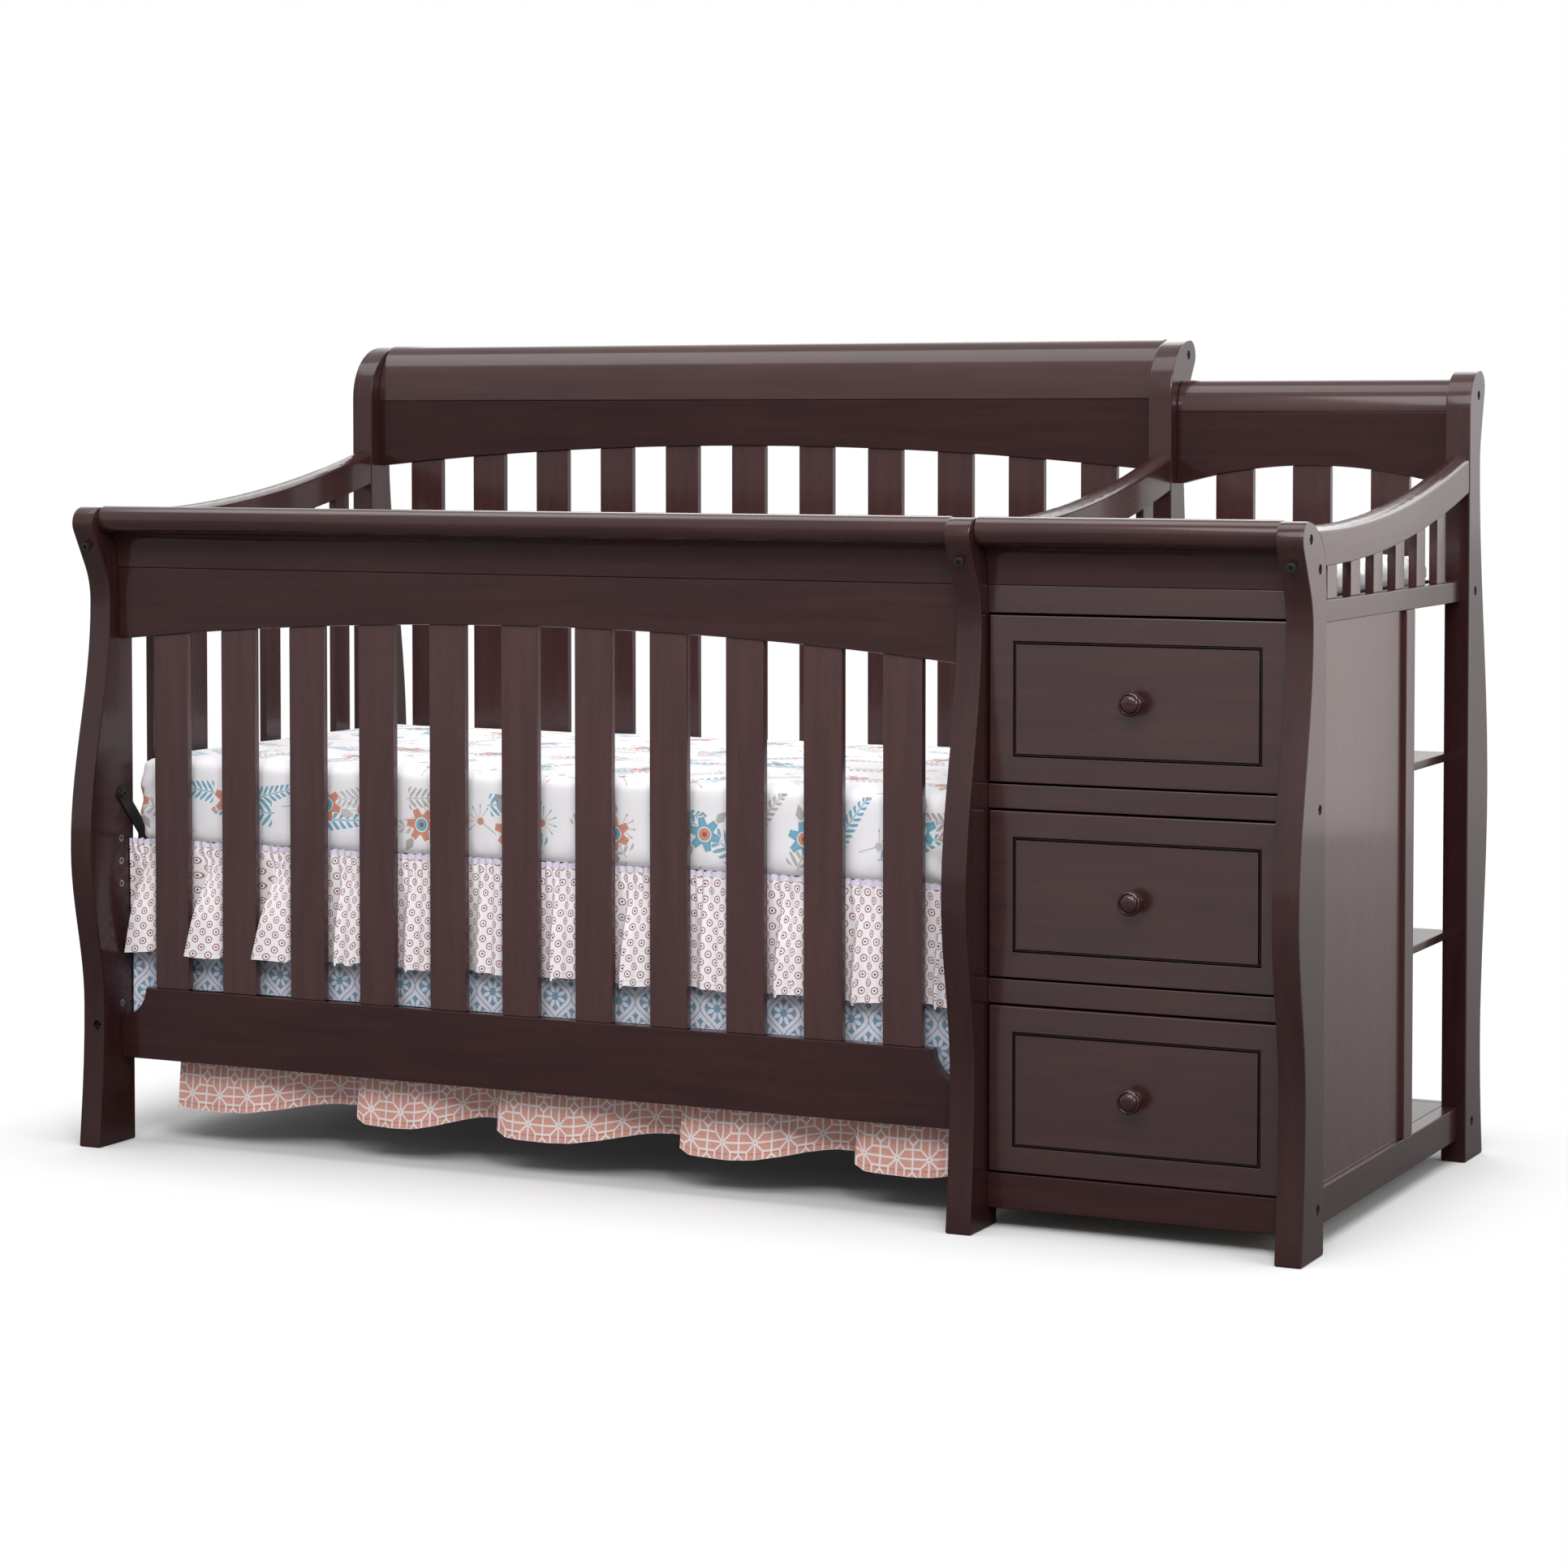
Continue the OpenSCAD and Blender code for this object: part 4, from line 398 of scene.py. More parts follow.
def meadowCloth():  # scattered flowers, umbels and leaf sprigs on white
    look = meadowLook
    finish = clothBase("meadowCloth", 0.08)
    u, v, uv = finish.clothPlace()
    white = tone(242, 240, 244)
    teal, coral, grey = tone(120, 174, 196), tone(212, 148, 128), tone(200, 195, 200)
    sage, plum, sky = tone(184, 182, 174), tone(160, 96, 88), tone(168, 202, 216)

    def scatter(pitch, moveU, moveV, seed, spread, grow):  # one motif's own x and y in each square of cloth
        cu = ((u + moveU) / pitch).floor()
        cv = ((v + moveV) / pitch).floor()
        cell = finish.point(cu, cv, seed)
        luck = finish.node("ShaderNodeTexWhiteNoise", {"noise_dimensions": "3D"}, {"Vector": cell}, 1)
        first, second, third = finish.parts(luck)
        x = (((u + moveU) % pitch) - pitch / 2 + (first - 0.5) * spread) / grow
        y = (((v + moveV) % pitch) - pitch / 2 + (second - 0.5) * spread) / grow
        turn = (third - 0.5) * 3.6
        c, s = turn.cosine(), turn.sine()
        return x * c + y * s, y * c - x * s, first, second

    def choose(luck, first, second):
        return finish.mix(luck.fade(0.48, 0.52), first, second)

    # leaf sprigs: a stem with slanted leaves that shorten to the tip, and a bud there
    shown = white
    for layout in look["sprigs"]:
        x, y, pick, other = scatter(*layout)
        side = abs(x)
        along = y + look["sprigHalf"]
        slant = (along - side * 0.8) % look["leafPitch"]
        leaf = inside(abs(slant - look["leafPitch"] / 2) - (0.0023 - abs(side - 0.006) * 0.19)) & \
            inside(side - (0.0135 - along * 0.15)) & inside(0.0030 - along) & inside(0.0010 - side)
        sprig = (leaf | inside(side - look["stem"])) & inside(abs(y) - look["sprigHalf"])
        budReach = side * 1.2 + abs(y - look["sprigHalf"] - 0.003)
        bud, budHeart = (inside(budReach - size) for size in look["buds"])
        leafTone = choose(other, sage, finish.mix(pick.fade(0.6, 0.62), teal, grey))
        shown = finish.layered(shown, (sprig, leafTone), (bud, choose(pick, teal, coral)),
                               (budHeart, choose(pick, coral, sky)))

    # umbels: a fan of fine stalks with a bead on each
    x, y, pick, other = scatter(*look["umbels"])
    r, angle = length(x, y), y.angle(x)
    fan = (angle * 5.5).cosine()
    upper = inside(0 - y - 0.001)
    stalks = inside((1 - abs(fan)) * r * 3 - 0.0006) & inside(abs(r - 0.0075) - 0.0055) & upper
    beads = inside((1 - abs(fan)) * r * 3 + abs(r - look["beadRing"]) - look["bead"]) & upper
    foot = inside(length(x, y + 0.001) - look["foot"])
    stalk = inside(abs(x) - look["stem"]) & inside(abs(y + 0.012) - 0.010)
    shown = finish.layered(shown, (stalks | stalk, sage), (beads, choose(pick, coral, teal)),
                           (foot, choose(other, coral, grey)))

    # open flowers with notched petals and a ringed heart
    x, y, pick, other = scatter(*look["flowers"])
    r, angle = length(x, y), y.angle(x)
    base, swell, notch = look["petal"]
    petal = base + swell * abs((angle * 3).cosine()) - notch * abs((angle * 9).cosine())
    outer, middle, eye = (inside(r - size) for size in look["hearts"])
    petalLine = inside(abs((angle * 3).sine()) * r - 0.0005) & inside(r - 0.0140)
    leafWing = inside(abs(abs(x) - 0.0235) * 0.5 + abs(y) - 0.0048)
    finish.put("Base Color", finish.layered(
        shown, (leafWing, choose(other, grey, sage)), (inside(r - petal - 0.0012), white),
        (inside(r - petal), choose(pick, coral, teal)), (petalLine * 0.8, choose(pick, plum, sky)),
        (outer, white), (middle, choose(pick, teal, coral)), (eye, plum)))
    weave(finish, u, v, 0.0010, 0.18, 0.16)
    return finish.material


def plainCloth(name, colour, pitch, creases):
    finish = clothBase(name)
    u, v, uv = finish.clothPlace()
    finish.put("Base Color", finish.mix(finish.noise(uv, 30), tuple(c * 0.93 for c in colour), colour))
    weave(finish, u, v, pitch, 0.25, creases)
    return finish.material


ringDot = ringDotCloth()
ogee = ogeeCloth()
starLattice = starLatticeCloth()
meadow = meadowCloth()
padCotton = plainCloth("padCotton", tone(240, 240, 242), 0.0016, 0.12)
deckMuslin = plainCloth("deckMuslin", tone(236, 233, 230), 0.0012, 0.2)
print("cloth finishes made")


# helpers for pieces

def pickOnly(piece):
    bpy.ops.object.select_all(action="DESELECT")
    piece.select_set(True)
    bpy.context.view_layer.objects.active = piece


def setMode(mode):
    bpy.ops.object.mode_set(mode=mode)


def smoothUpTo(degrees):
    bpy.ops.object.shade_smooth_by_angle(angle=math.radians(degrees))


def newPiece(name, mesh):
    piece = bpy.data.objects.new(name, mesh)
    bpy.context.scene.collection.objects.link(piece)
    return piece


def dress(piece, material, body):
    piece.data.materials.clear()
    piece.data.materials.append(material)
    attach(piece, body)
    return piece


def applyModifier(piece, kind, settings):
    pickOnly(piece)
    made = piece.modifiers.new(kind.lower(), kind)
    for key, value in settings.items():
        setattr(made, key, value)
    bpy.ops.object.modifier_apply(modifier=made.name)


def editChosen(piece, kind, chosen):  # leaves the piece in edit mode with the chosen faces or edges selected
    pickOnly(piece)
    setMode("EDIT")
    bpy.ops.mesh.select_mode(type=kind)
    bpy.ops.mesh.select_all(action="DESELECT")
    setMode("OBJECT")
    for part in piece.data.polygons if kind == "FACE" else piece.data.edges:
        part.select = chosen(part)
    setMode("EDIT")


def cleanCopy(nodeName, name):
    piece = newPiece(name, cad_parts[nodeName].data.copy())
    pickOnly(piece)
    bpy.ops.mesh.customdata_custom_splitnormals_clear()
    setMode("EDIT")
    bpy.ops.mesh.select_all(action="SELECT")
    bpy.ops.mesh.remove_doubles(threshold=0.00001)
    bpy.ops.mesh.dissolve_limited(angle_limit=math.radians(0.1))
    setMode("OBJECT")
    return piece


def easeEdges(piece, radius, share):  # share gives each sharp edge its part of the radius
    mesh = bmesh.new()
    mesh.from_mesh(piece.data)
    weight = mesh.edges.layers.float.new("bevel_weight_edge")
    for edge in mesh.edges:
        if len(edge.link_faces) == 2 and edge.calc_face_angle(0) > 0.6 and edge.calc_length() > 0.003:
            edge[weight] = share(edge)
    mesh.to_mesh(piece.data)
    mesh.free()
    applyModifier(piece, "BEVEL", {"limit_method": "WEIGHT", "width": radius, "segments": 2,
                                   "use_clamp_overlap": False})
    smoothUpTo(35)
    applyModifier(piece, "WEIGHTED_NORMAL", {"keep_sharp": True, "weight": 60})


def easedBoard(nodeName, material, body, radius):
    piece = cleanCopy(nodeName, nodeName + "_eased")
    easeEdges(piece, radius, lambda edge: 1.0 if edge.is_convex else 0.0)
    dress(piece, material, body)
    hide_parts(nodeName)
    return piece


# wooden boards

boards = {
    "posts": {"wood": woodZ, "radius": 0.0026, "nodes": [
        "front_left_post", "front_middle_post", "front_right_post",
        "back_left_post", "back_middle_post", "back_right_post"]},
    "slats": {"wood": woodSlat, "radius": 0.0014, "nodes": ["front_slats", "right_slats"]},
    # the panels' wood is a lighter copy of the stain: painted light
    "panels": {"wood": litPanelWood, "radius": 0.0014, "nodes": [
        "middle_panel", "right_panel", "right_stile", "cabinet_back_panel"]},
    "long": {"wood": woodX, "radius": 0.0018, "nodes": [
        "front_arched_rail", "front_bottom_rail", "back_bottom_rail", "changer_back_rails",
        "cabinet_bottom_rail", "changer_top", "rear_shelves"]},
    "deep": {"wood": woodY, "radius": 0.0018, "nodes": [
        "left_curved_rail", "middle_curved_rail", "right_curved_rail", "left_bottom_rail",
        "middle_bottom_rail", "right_bottom_rail", "middle_upper_rail", "right_upper_rail"]},
    "cabinet": {"wood": woodDrawer, "radius": 0.0018, "nodes": ["cabinet_top_rail", "drawer_dividers"]},
    "crowns": {"wood": woodCrown, "radius": 0.0018, "nodes": [
        "front_crown_rail", "back_crown_rail", "changer_crown_rail", "changer_back_crown"]},
    # the back boards take a darker copy of the stain: painted shade
    "rear": {"wood": shadedRearWood, "radius": 0.0018, "nodes": ["back_arched_rail", "changer_back_arched_rail"]},
    # these slats take a darker copy of the slat stain: painted shade
    "rearSlats": {"wood": shadedRearSlatWood, "radius": 0.0014, "nodes": [
        "back_slats", "left_slats", "middle_slats", "changer_back_slats"]},
}
for look in boards.values():
    for nodeName in look["nodes"]:
        easedBoard(nodeName, look["wood"], "crib_frame", look["radius"])
print("boards eased")

# drawers

drawerLook = {"frontRadius": 0.0022, "grooveShare": 0.25, "boardRadius": 0.0010, "facets": 64,
              "beadInset": 0.0012, "beadRise": 0.0013, "margin": 0.015, "boxBoard": 0.012}


def fromRim(spot, low, high):  # how far a spot is from the front's outline
    return min(spot.x - low.x, high.x - spot.x, spot.z - low.z, high.z - spot.z)


def drawerFrontEdge(nodeName):
    low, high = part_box(nodeName)

    def share(edge):
        if not edge.is_convex:
            return 0.0
        outer = all(fromRim(vert.co, low, high) < 0.001 for vert in edge.verts)
        return 1.0 if outer else drawerLook["grooveShare"]

    return share


def beadedGroove(piece, nodeName):  # the groove's floor gets a bead, and painted shade darkens the groove and its bead
    low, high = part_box(nodeName)
    piece.data.materials.append(grooveShadePaint)
    editChosen(piece, "FACE",
               lambda face: face.normal.y < -0.9 and low.y + 0.0015 < face.center.y < high.y - 0.002)
    bpy.ops.mesh.inset(thickness=drawerLook["beadInset"], depth=drawerLook["beadRise"], use_boundary=True)
    setMode("OBJECT")
    for face in piece.data.polygons:
        deep = low.y + 0.0004 < face.center.y < high.y - 0.002 and face.normal.y < 0.5
        face.material_index = 1 if deep and fromRim(face.center, low, high) > drawerLook["margin"] else 0


def turned(name, centre, profile):  # rings about a line along Y: each is (radius, distance towards -Y)
    bpy.ops.object.select_all(action="DESELECT")
    radius, depth = profile[0]
    bpy.ops.mesh.primitive_circle_add(vertices=drawerLook["facets"], radius=radius, fill_type="NGON",
                                      location=(centre.x, centre.y - depth, centre.z),
                                      rotation=(math.pi / 2, 0, 0))
    piece = bpy.context.object
    piece.name = name
    bpy.ops.object.transform_apply(location=True, rotation=True, scale=True)
    setMode("EDIT")
    bpy.ops.mesh.select_all(action="SELECT")
    for newRadius, newDepth in profile[1:]:
        bpy.ops.mesh.extrude_region_move(TRANSFORM_OT_translate={"value": (0, depth - newDepth, 0)})
        k = newRadius / radius
        bpy.ops.transform.resize(value=(k, 1, k), center_override=(centre.x, centre.y - newDepth, centre.z))
        radius, depth = newRadius, newDepth
    bpy.ops.mesh.select_all(action="SELECT")
    bpy.ops.mesh.normals_make_consistent(inside=False)
    setMode("OBJECT")
    smoothUpTo(32)
    return piece


knobProfile = [(0.0096, 0.0), (0.0102, 0.0006), (0.0102, 0.0020), (0.0094, 0.0028), (0.0086, 0.0030),
               (0.0078, 0.0042), (0.0074, 0.0062), (0.0076, 0.0092), (0.0086, 0.0120), (0.0104, 0.0142),
               (0.0130, 0.0158), (0.0150, 0.0172), (0.0161, 0.0190), (0.0165, 0.0208), (0.0162, 0.0226),
               (0.0152, 0.0243), (0.0140, 0.0254), (0.0132, 0.0257), (0.0126, 0.0253), (0.0122, 0.0249),
               (0.0117, 0.0253), (0.0111, 0.0265), (0.0102, 0.0273), (0.0090, 0.0283), (0.0062, 0.0288),
               (0.0030, 0.0290), (0.0006, 0.0290)]
screwProfile = [(0.0045, 0.0), (0.0046, -0.0008), (0.0042, -0.0018), (0.0032, -0.0026), (0.0016, -0.0030),
                (0.0014, -0.0030), (0.0012, -0.0014), (0.0003, -0.0014)]

for number in (1, 2, 3):
    body = f"drawer_{number}"
    frontNode = f"drawer_{number}_front"
    front = cleanCopy(frontNode, frontNode + "_eased")
    front.data.materials.clear()
    front.data.materials.append(woodDrawer)
    beadedGroove(front, frontNode)
    easeEdges(front, drawerLook["frontRadius"], drawerFrontEdge(frontNode))
    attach(front, body)
    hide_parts(frontNode)
    easedBoard(f"drawer_{number}_box", drawerBoard, body, drawerLook["boardRadius"])
    low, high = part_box(frontNode)
    centre = Vector(((low.x + high.x) / 2, low.y, (low.z + high.z) / 2))
    knob = dress(turned(f"drawer_{number}_pull", centre, knobProfile), knobWood, body)
    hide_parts(f"drawer_{number}_knob")
    seat = Vector((centre.x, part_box(f"drawer_{number}_box")[0].y + drawerLook["boxBoard"], centre.z))
    dress(turned(f"drawer_{number}_screw", seat, screwProfile), zincSteel, body)
print("drawers dressed")

# metal

for nodeName in ("drawer_1_runners", "drawer_2_runners", "drawer_3_runners", "cabinet_runners", "barrel_nuts",
                 "threaded_inserts", "spring_frame"):
    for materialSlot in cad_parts[nodeName].material_slots:
        materialSlot.material = blackSteel if nodeName == "spring_frame" else zincSteel

easedBoard("frame_hangers", blackSteel, "crib_frame", 0.0006)

boltLook = {"headRadius": 0.00625, "rim": 0.0007, "ring": 0.0030, "socketFlats": 0.0050, "socketDepth": 0.0030}


def boltsWithSockets():
    piece = cleanCopy("rail_bolts", "rail_bolts_socketed")
    radius, rim = boltLook["headRadius"], boltLook["rim"]
    headArea = math.pi * radius ** 2
    editChosen(piece, "FACE", lambda face: abs(face.area - headArea) < 0.03 * headArea)
    bpy.ops.mesh.inset(thickness=rim, depth=rim * 0.6, use_individual=True)
    bpy.ops.mesh.inset(thickness=radius - rim - boltLook["ring"], depth=0, use_individual=True)
    mesh = bmesh.from_edit_mesh(piece.data)
    flats = boltLook["socketFlats"] / 2
    for face in [f for f in mesh.faces if f.select]:  # the inner ring becomes a hexagon
        middle, normal = face.calc_center_median(), face.normal
        across = normal.orthogonal().normalized()
        up = normal.cross(across)
        for vert in face.verts:
            arm = vert.co - middle
            angle = math.atan2(arm.dot(up), arm.dot(across))
            nearest = (angle + math.pi / 6) % (math.pi / 3) - math.pi / 6
            vert.co = middle + arm.normalized() * (flats / math.cos(nearest))
    bmesh.update_edit_mesh(piece.data)
    bpy.ops.mesh.inset(thickness=0.00002, depth=-boltLook["socketDepth"], use_individual=True)
    setMode("OBJECT")
    smoothUpTo(30)
    dress(piece, blackSteel, "crib_frame")
    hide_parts("rail_bolts")


boltsWithSockets()
print("metal dressed")


# bed skirt: three gathered tiers on each side of the crib

skirt = {
    "left": -0.8875, "right": 0.4425, "front": -0.3434, "back": 0.3514, "corner": 0.0015, "endIn": 0.055,
    "postFront": -0.330, "postBack": 0.330, "gaps": 12, "pitch": 0.1156, "gap": 0.0586, "top": 0.4446,
    "middleTop": 0.300, "bottomTop": 0.168, "topHem": 0.283, "middleHem": 0.150, "bottomHem": 0.054,
    "lowInset": 0.078, "topCell": 0.0045, "middleCell": 0.006, "bottomCell": 0.0035, "middleOut": 0.0165,
    "postOut": 0.008, "deckHeight": 0.4372, "deckMargin": 0.0036, "deckCloth": 0.0006,
    "flare": [0.92, 1.0, 0.95, 0.42, 0.15, 0.10, 0.25, 0.35, 0.12, 0.38, 0.20, 0.30],
    "cloth": 0.0008, "breaks": [-0.8175, -0.4995, -0.2695, 0.0175, 0.2795, 0.5600],
    "broadDepth": 0.031, "lift": 0.019,
}


def ease(low, high, t):
    t = np.clip((t - low) / (high - low), 0, 1)
    return t * t * (3 - 2 * t)


def throughPoints(knots, samples):  # a smooth line through (n, 2) knots, one curve for every row
    n = len(knots)
    at = np.linspace(0, n - 1, samples)
    i = np.minimum(at.astype(int), n - 2)
    f = (at - i)[:, None]
    p0, p1, p2, p3 = (knots[np.clip(i + k, 0, n - 1)] for k in (-1, 0, 1, 2))
    return 0.5 * (2 * p1 + (p2 - p0) * f + (2 * p0 - 5 * p1 + 4 * p2 - p3) * f ** 2
                  + (3 * p1 - p0 - 3 * p2 + p3) * f ** 3)


def gapKnots(t, g):  # plan of the top tier in one slat gap: (sideways, forwards) from the gap's middle
    half = skirt["gap"] / 2
    flare = skirt["flare"][g]
    push = float(ease(0.05, 0.70, t))
    reach = 0.0205 * push
    end = -0.0350 if g else -0.0235
    crease = 0.014 + (end - 0.014) * t ** 0.85
    back = max(crease + 0.0016, -0.0274)
    folded = np.array([(-half, 0.0008), (back + 0.0007, -0.25 * reach), (back, 0.0014 - reach),
                       (crease + 0.0006, 0.0010 - reach), (crease - 0.0004, -0.0003 - reach),
                       (crease + 0.0045, -0.0012 - reach), (0.5 * crease + 0.008, -0.0006 - 0.97 * reach),
                       (0.019, -0.62 * reach), (half, 0.0006)])
    sway = 0.35 * math.sin(2.3 * g + 0.8)
    gentle = np.array([(-half, 0.0010), (-0.020, -0.0026), (-0.012, -0.0070), (-0.005, -0.0060), (0.002, -0.0020),
                       (0.009, -0.0012), (0.015, -0.0050), (0.022, -0.0036), (half, 0.0010)])
    gentle[1:-1, 0] += 0.012 * sway * t
    gentle[:, 1] *= (0.35 + 1.1 * push)
    part = min(flare / 0.9, 1.0) if flare > 0.5 else flare
    return gentle * (1 - part) + folded * part


def topPlan(t, samples):  # one level line of the top tier along the whole front
    knots, last = [], skirt["gaps"] - 1
    for g in range(last + 1):
        centre = skirt["left"] + skirt["gap"] / 2 + g * skirt["pitch"]
        plan = gapKnots(t, g)
        plan[:, 0] += centre
        if g == 0:
            plan[0, 0] = skirt["left"] + skirt["corner"]
            plan[:, 0] = np.maximum(plan[:, 0], skirt["left"] + 0.0012)
        if g == last:
            plan[-1, 0] = skirt["right"] - skirt["corner"]
        knots.append(plan)
        if g < last:
            sag = 0.009 * ease(0.1, 1.0, t) * (0.8 + 0.4 * math.sin(g * 1.7))
            slatMiddle = centre + skirt["pitch"] / 2
            knots.append(np.array([(slatMiddle - 0.012, sag), (slatMiddle + 0.012, 0.8 * sag)]))
    return throughPoints(np.concatenate(knots), samples)


def topTierFront(rows):
    gaps, gapKnotCount, slatKnotCount = skirt["gaps"], 9, 2
    samples, pitchKnots = gaps * 52, gapKnotCount + slatKnotCount
    knotCount = gaps * pitchKnots - slatKnotCount
    hem = topPlan(0.9, samples)
    run = np.concatenate([[0], np.cumsum(np.linalg.norm(np.diff(hem, axis=0), axis=1))])
    starts = [g * pitchKnots / (knotCount - 1) * (samples - 1) for g in range(gaps)] + [samples - 1]
    places = [skirt["left"] + g * skirt["pitch"] for g in range(gaps)] + [skirt["right"] - skirt["corner"]]
    places[0] += skirt["corner"]
    header = np.interp(run, np.interp(starts, np.arange(samples), run), places)  # the gathers share out each pitch
    lines = []
    for t in np.linspace(0, 1, rows + 1):
        shown = float(ease(0.0, 0.42, t))
        plan = topPlan(t, samples)
        at = header * (1 - shown) + plan[:, 0] * shown
        depth = plan[:, 1] * shown
        pucker = (0.45 + 0.55 * np.sin(run * 37 + 1.0) ** 2) * np.exp(-(t / 0.30) ** 1.6)
        gathers = 0.0030 * pucker * np.sin(run * 400 + 2.4 * np.sin(run * 51) + 1.4 * np.sin(run * 23))
        ripples = 0.0013 * ease(0.1, 0.9, t) * np.sin(run * 141 + 1.5 * np.sin(run * 27) + 1.2 * t)
        depth = depth + gathers + np.where(depth > -0.004, ripples, 0.4 * ripples)
        depth = np.clip(depth, -0.0235, 0.014)
        height = skirt["top"] + (skirt["topHem"] - skirt["top"]) * t \
            + 0.0022 * t * np.sin(at * 37 + 0.6) - 0.0035 * t * (depth < -0.012)
        height = height - 0.0012 * pucker * (1 + np.sin(run * 400))
        lines.append(np.stack([at, skirt["front"] + 0.0008 + depth, height], 1))
    return np.array(lines)


def plainTier(run, rows, columns, top, hem, out, fold, gathered, seed):
    t = np.linspace(0, 1, rows + 1)[:, None]
    a = np.linspace(0, run, columns + 1)[None, :]
    swing = 2 * np.pi * a / fold + 0.7 * np.sin(a * 9 + seed) + 0.4 * t * np.sin(a * 17 + 2 * seed)
    folds = 0.0075 * ease(0.05, 1, t) * (1 - np.cos(swing)) / 2
    small = 0.0015 * gathered * (1 - ease(0.02, 0.6, t)) * np.sin(a * 430 + 2 * np.sin(a * 57 + seed))
    second = 0.0016 * ease(0.1, 1, t) * np.sin(a * 143 + 1.3 * np.sin(a * 29 + seed))
    depth = out + folds + small + second
    height = top + (hem - top) * t + 0.002 * t * np.sin(a * 31 + seed)
    return np.stack([a + 0 * t, depth, height], 2)


def broadTier(run, rows, columns, breaks):  # broad folds: each falls back, then steps forward at a break
    t = np.linspace(0, 1, rows + 1)[:, None]
    a = np.linspace(0, run, columns + 1)
    index = np.clip(np.searchsorted(breaks, a, side="right") - 1, 0, len(breaks) - 2)
    width = np.diff(breaks)[index]
    f = (a - np.array(breaks)[index]) / width
    turn = 0.015 / width  # the step forward takes this share of a fold
    recess = ease(0.36, 0.90, f) * (1 - ease(1 - turn, 1, f))
    rise = ease(0.36, 0.86, f) * (1 - 0.65 * ease(1 - 0.6 * turn, 1, f)) + 0.35 * (1 - ease(0, 0.7 * turn, f))
    recess, rise = recess[None, :], rise[None, :]
    fall = ease(-0.1, 0.9, t)
    depth = 0.020 - 0.012 * t + skirt["broadDepth"] * recess * (0.30 + 0.70 * fall) \
        + 0.0010 * np.sin(a * 41)[None, :] * t + 0.0009 * np.sin(a * 133 + 1.4 * np.sin(a * 19))[None, :] * fall
    height = skirt["bottomTop"] + (skirt["bottomHem"] - skirt["bottomTop"]) * t + skirt["lift"] * rise * fall \
        - 0.0030 * fall * np.sin(np.pi * np.clip(f * 2.2, 0, 1))[None, :]
    tuck = np.exp(-((f - 1) * width / 0.007) ** 2) + np.exp(-(f * width / 0.007) ** 2)
    return np.stack([a[None, :] - 0.004 * tuck[None, :] * fall, depth, height], 2)


def sides(inset):  # each side's length, and how its cloth's (along, inwards, up) stands in the room
    s = skirt
    x0, x1 = s["left"] + s["corner"] + inset, s["right"] - s["corner"]
    margin = s["endIn"] + min(inset, 0.004)
    y0, y1 = s["postFront"] + margin, s["postBack"] - margin
    frontRun, endRun = x1 - x0, y1 - y0
    return [(frontRun, lambda p: np.stack([x0 + p[..., 0], s["front"] + p[..., 1], p[..., 2]], -1)),
            (frontRun, lambda p: np.stack([x1 - p[..., 0], s["back"] - p[..., 1], p[..., 2]], -1)),
            (endRun, lambda p: np.stack([s["left"] + 0.0006 + inset + p[..., 1], y1 - p[..., 0], p[..., 2]], -1)),
            (endRun, lambda p: np.stack([s["right"] - 0.0006 - p[..., 1], y0 + p[..., 0], p[..., 2]], -1))]


def clothPiece(name, grids, material, thickness):  # one mesh of several strips, UVs in metres of flat cloth
    points, faces, uvs, flatLength, flatHeight, start = [], [], [], 0.0, 0.0, 0
    for grid in grids:
        rows, columns = grid.shape[0] - 1, grid.shape[1] - 1
        hemRow = grid[int(rows * 0.8)]
        steps = np.linalg.norm(np.diff(hemRow, axis=0), axis=1)
        u = flatLength + np.concatenate([[0], np.cumsum(steps)])
        drop = np.linalg.norm(np.diff(grid, axis=0)[..., 1:], axis=2).mean(1)
        v = np.concatenate([np.cumsum(drop[::-1])[::-1], [0]])
        index = start + np.arange((rows + 1) * (columns + 1)).reshape(rows + 1, columns + 1)
        points.append(grid.reshape(-1, 3))
        for r in range(rows):
            for c in range(columns):
                faces.append((index[r, c], index[r + 1, c], index[r + 1, c + 1], index[r, c + 1]))
                uvs.extend([(u[c], v[r]), (u[c], v[r + 1]), (u[c + 1], v[r + 1]), (u[c + 1], v[r])])
        start += (rows + 1) * (columns + 1)
        flatLength, flatHeight = u[-1] + 0.02, max(flatHeight, v[0])
    mesh = bpy.data.meshes.new(name)
    mesh.from_pydata(np.concatenate(points).tolist(), [], faces)
    layer = mesh.uv_layers.new(name="cloth")
    layer.data.foreach_set("uv", np.array(uvs, np.float32).ravel())
    mesh.update()
    piece = newPiece(name, mesh)
    applyModifier(piece, "SOLIDIFY", {"thickness": thickness, "offset": -1, "use_quality_normals": True})
    smoothUpTo(50)
    dress(piece, material, "crib_frame")
    return piece, float(flatLength), float(flatHeight)


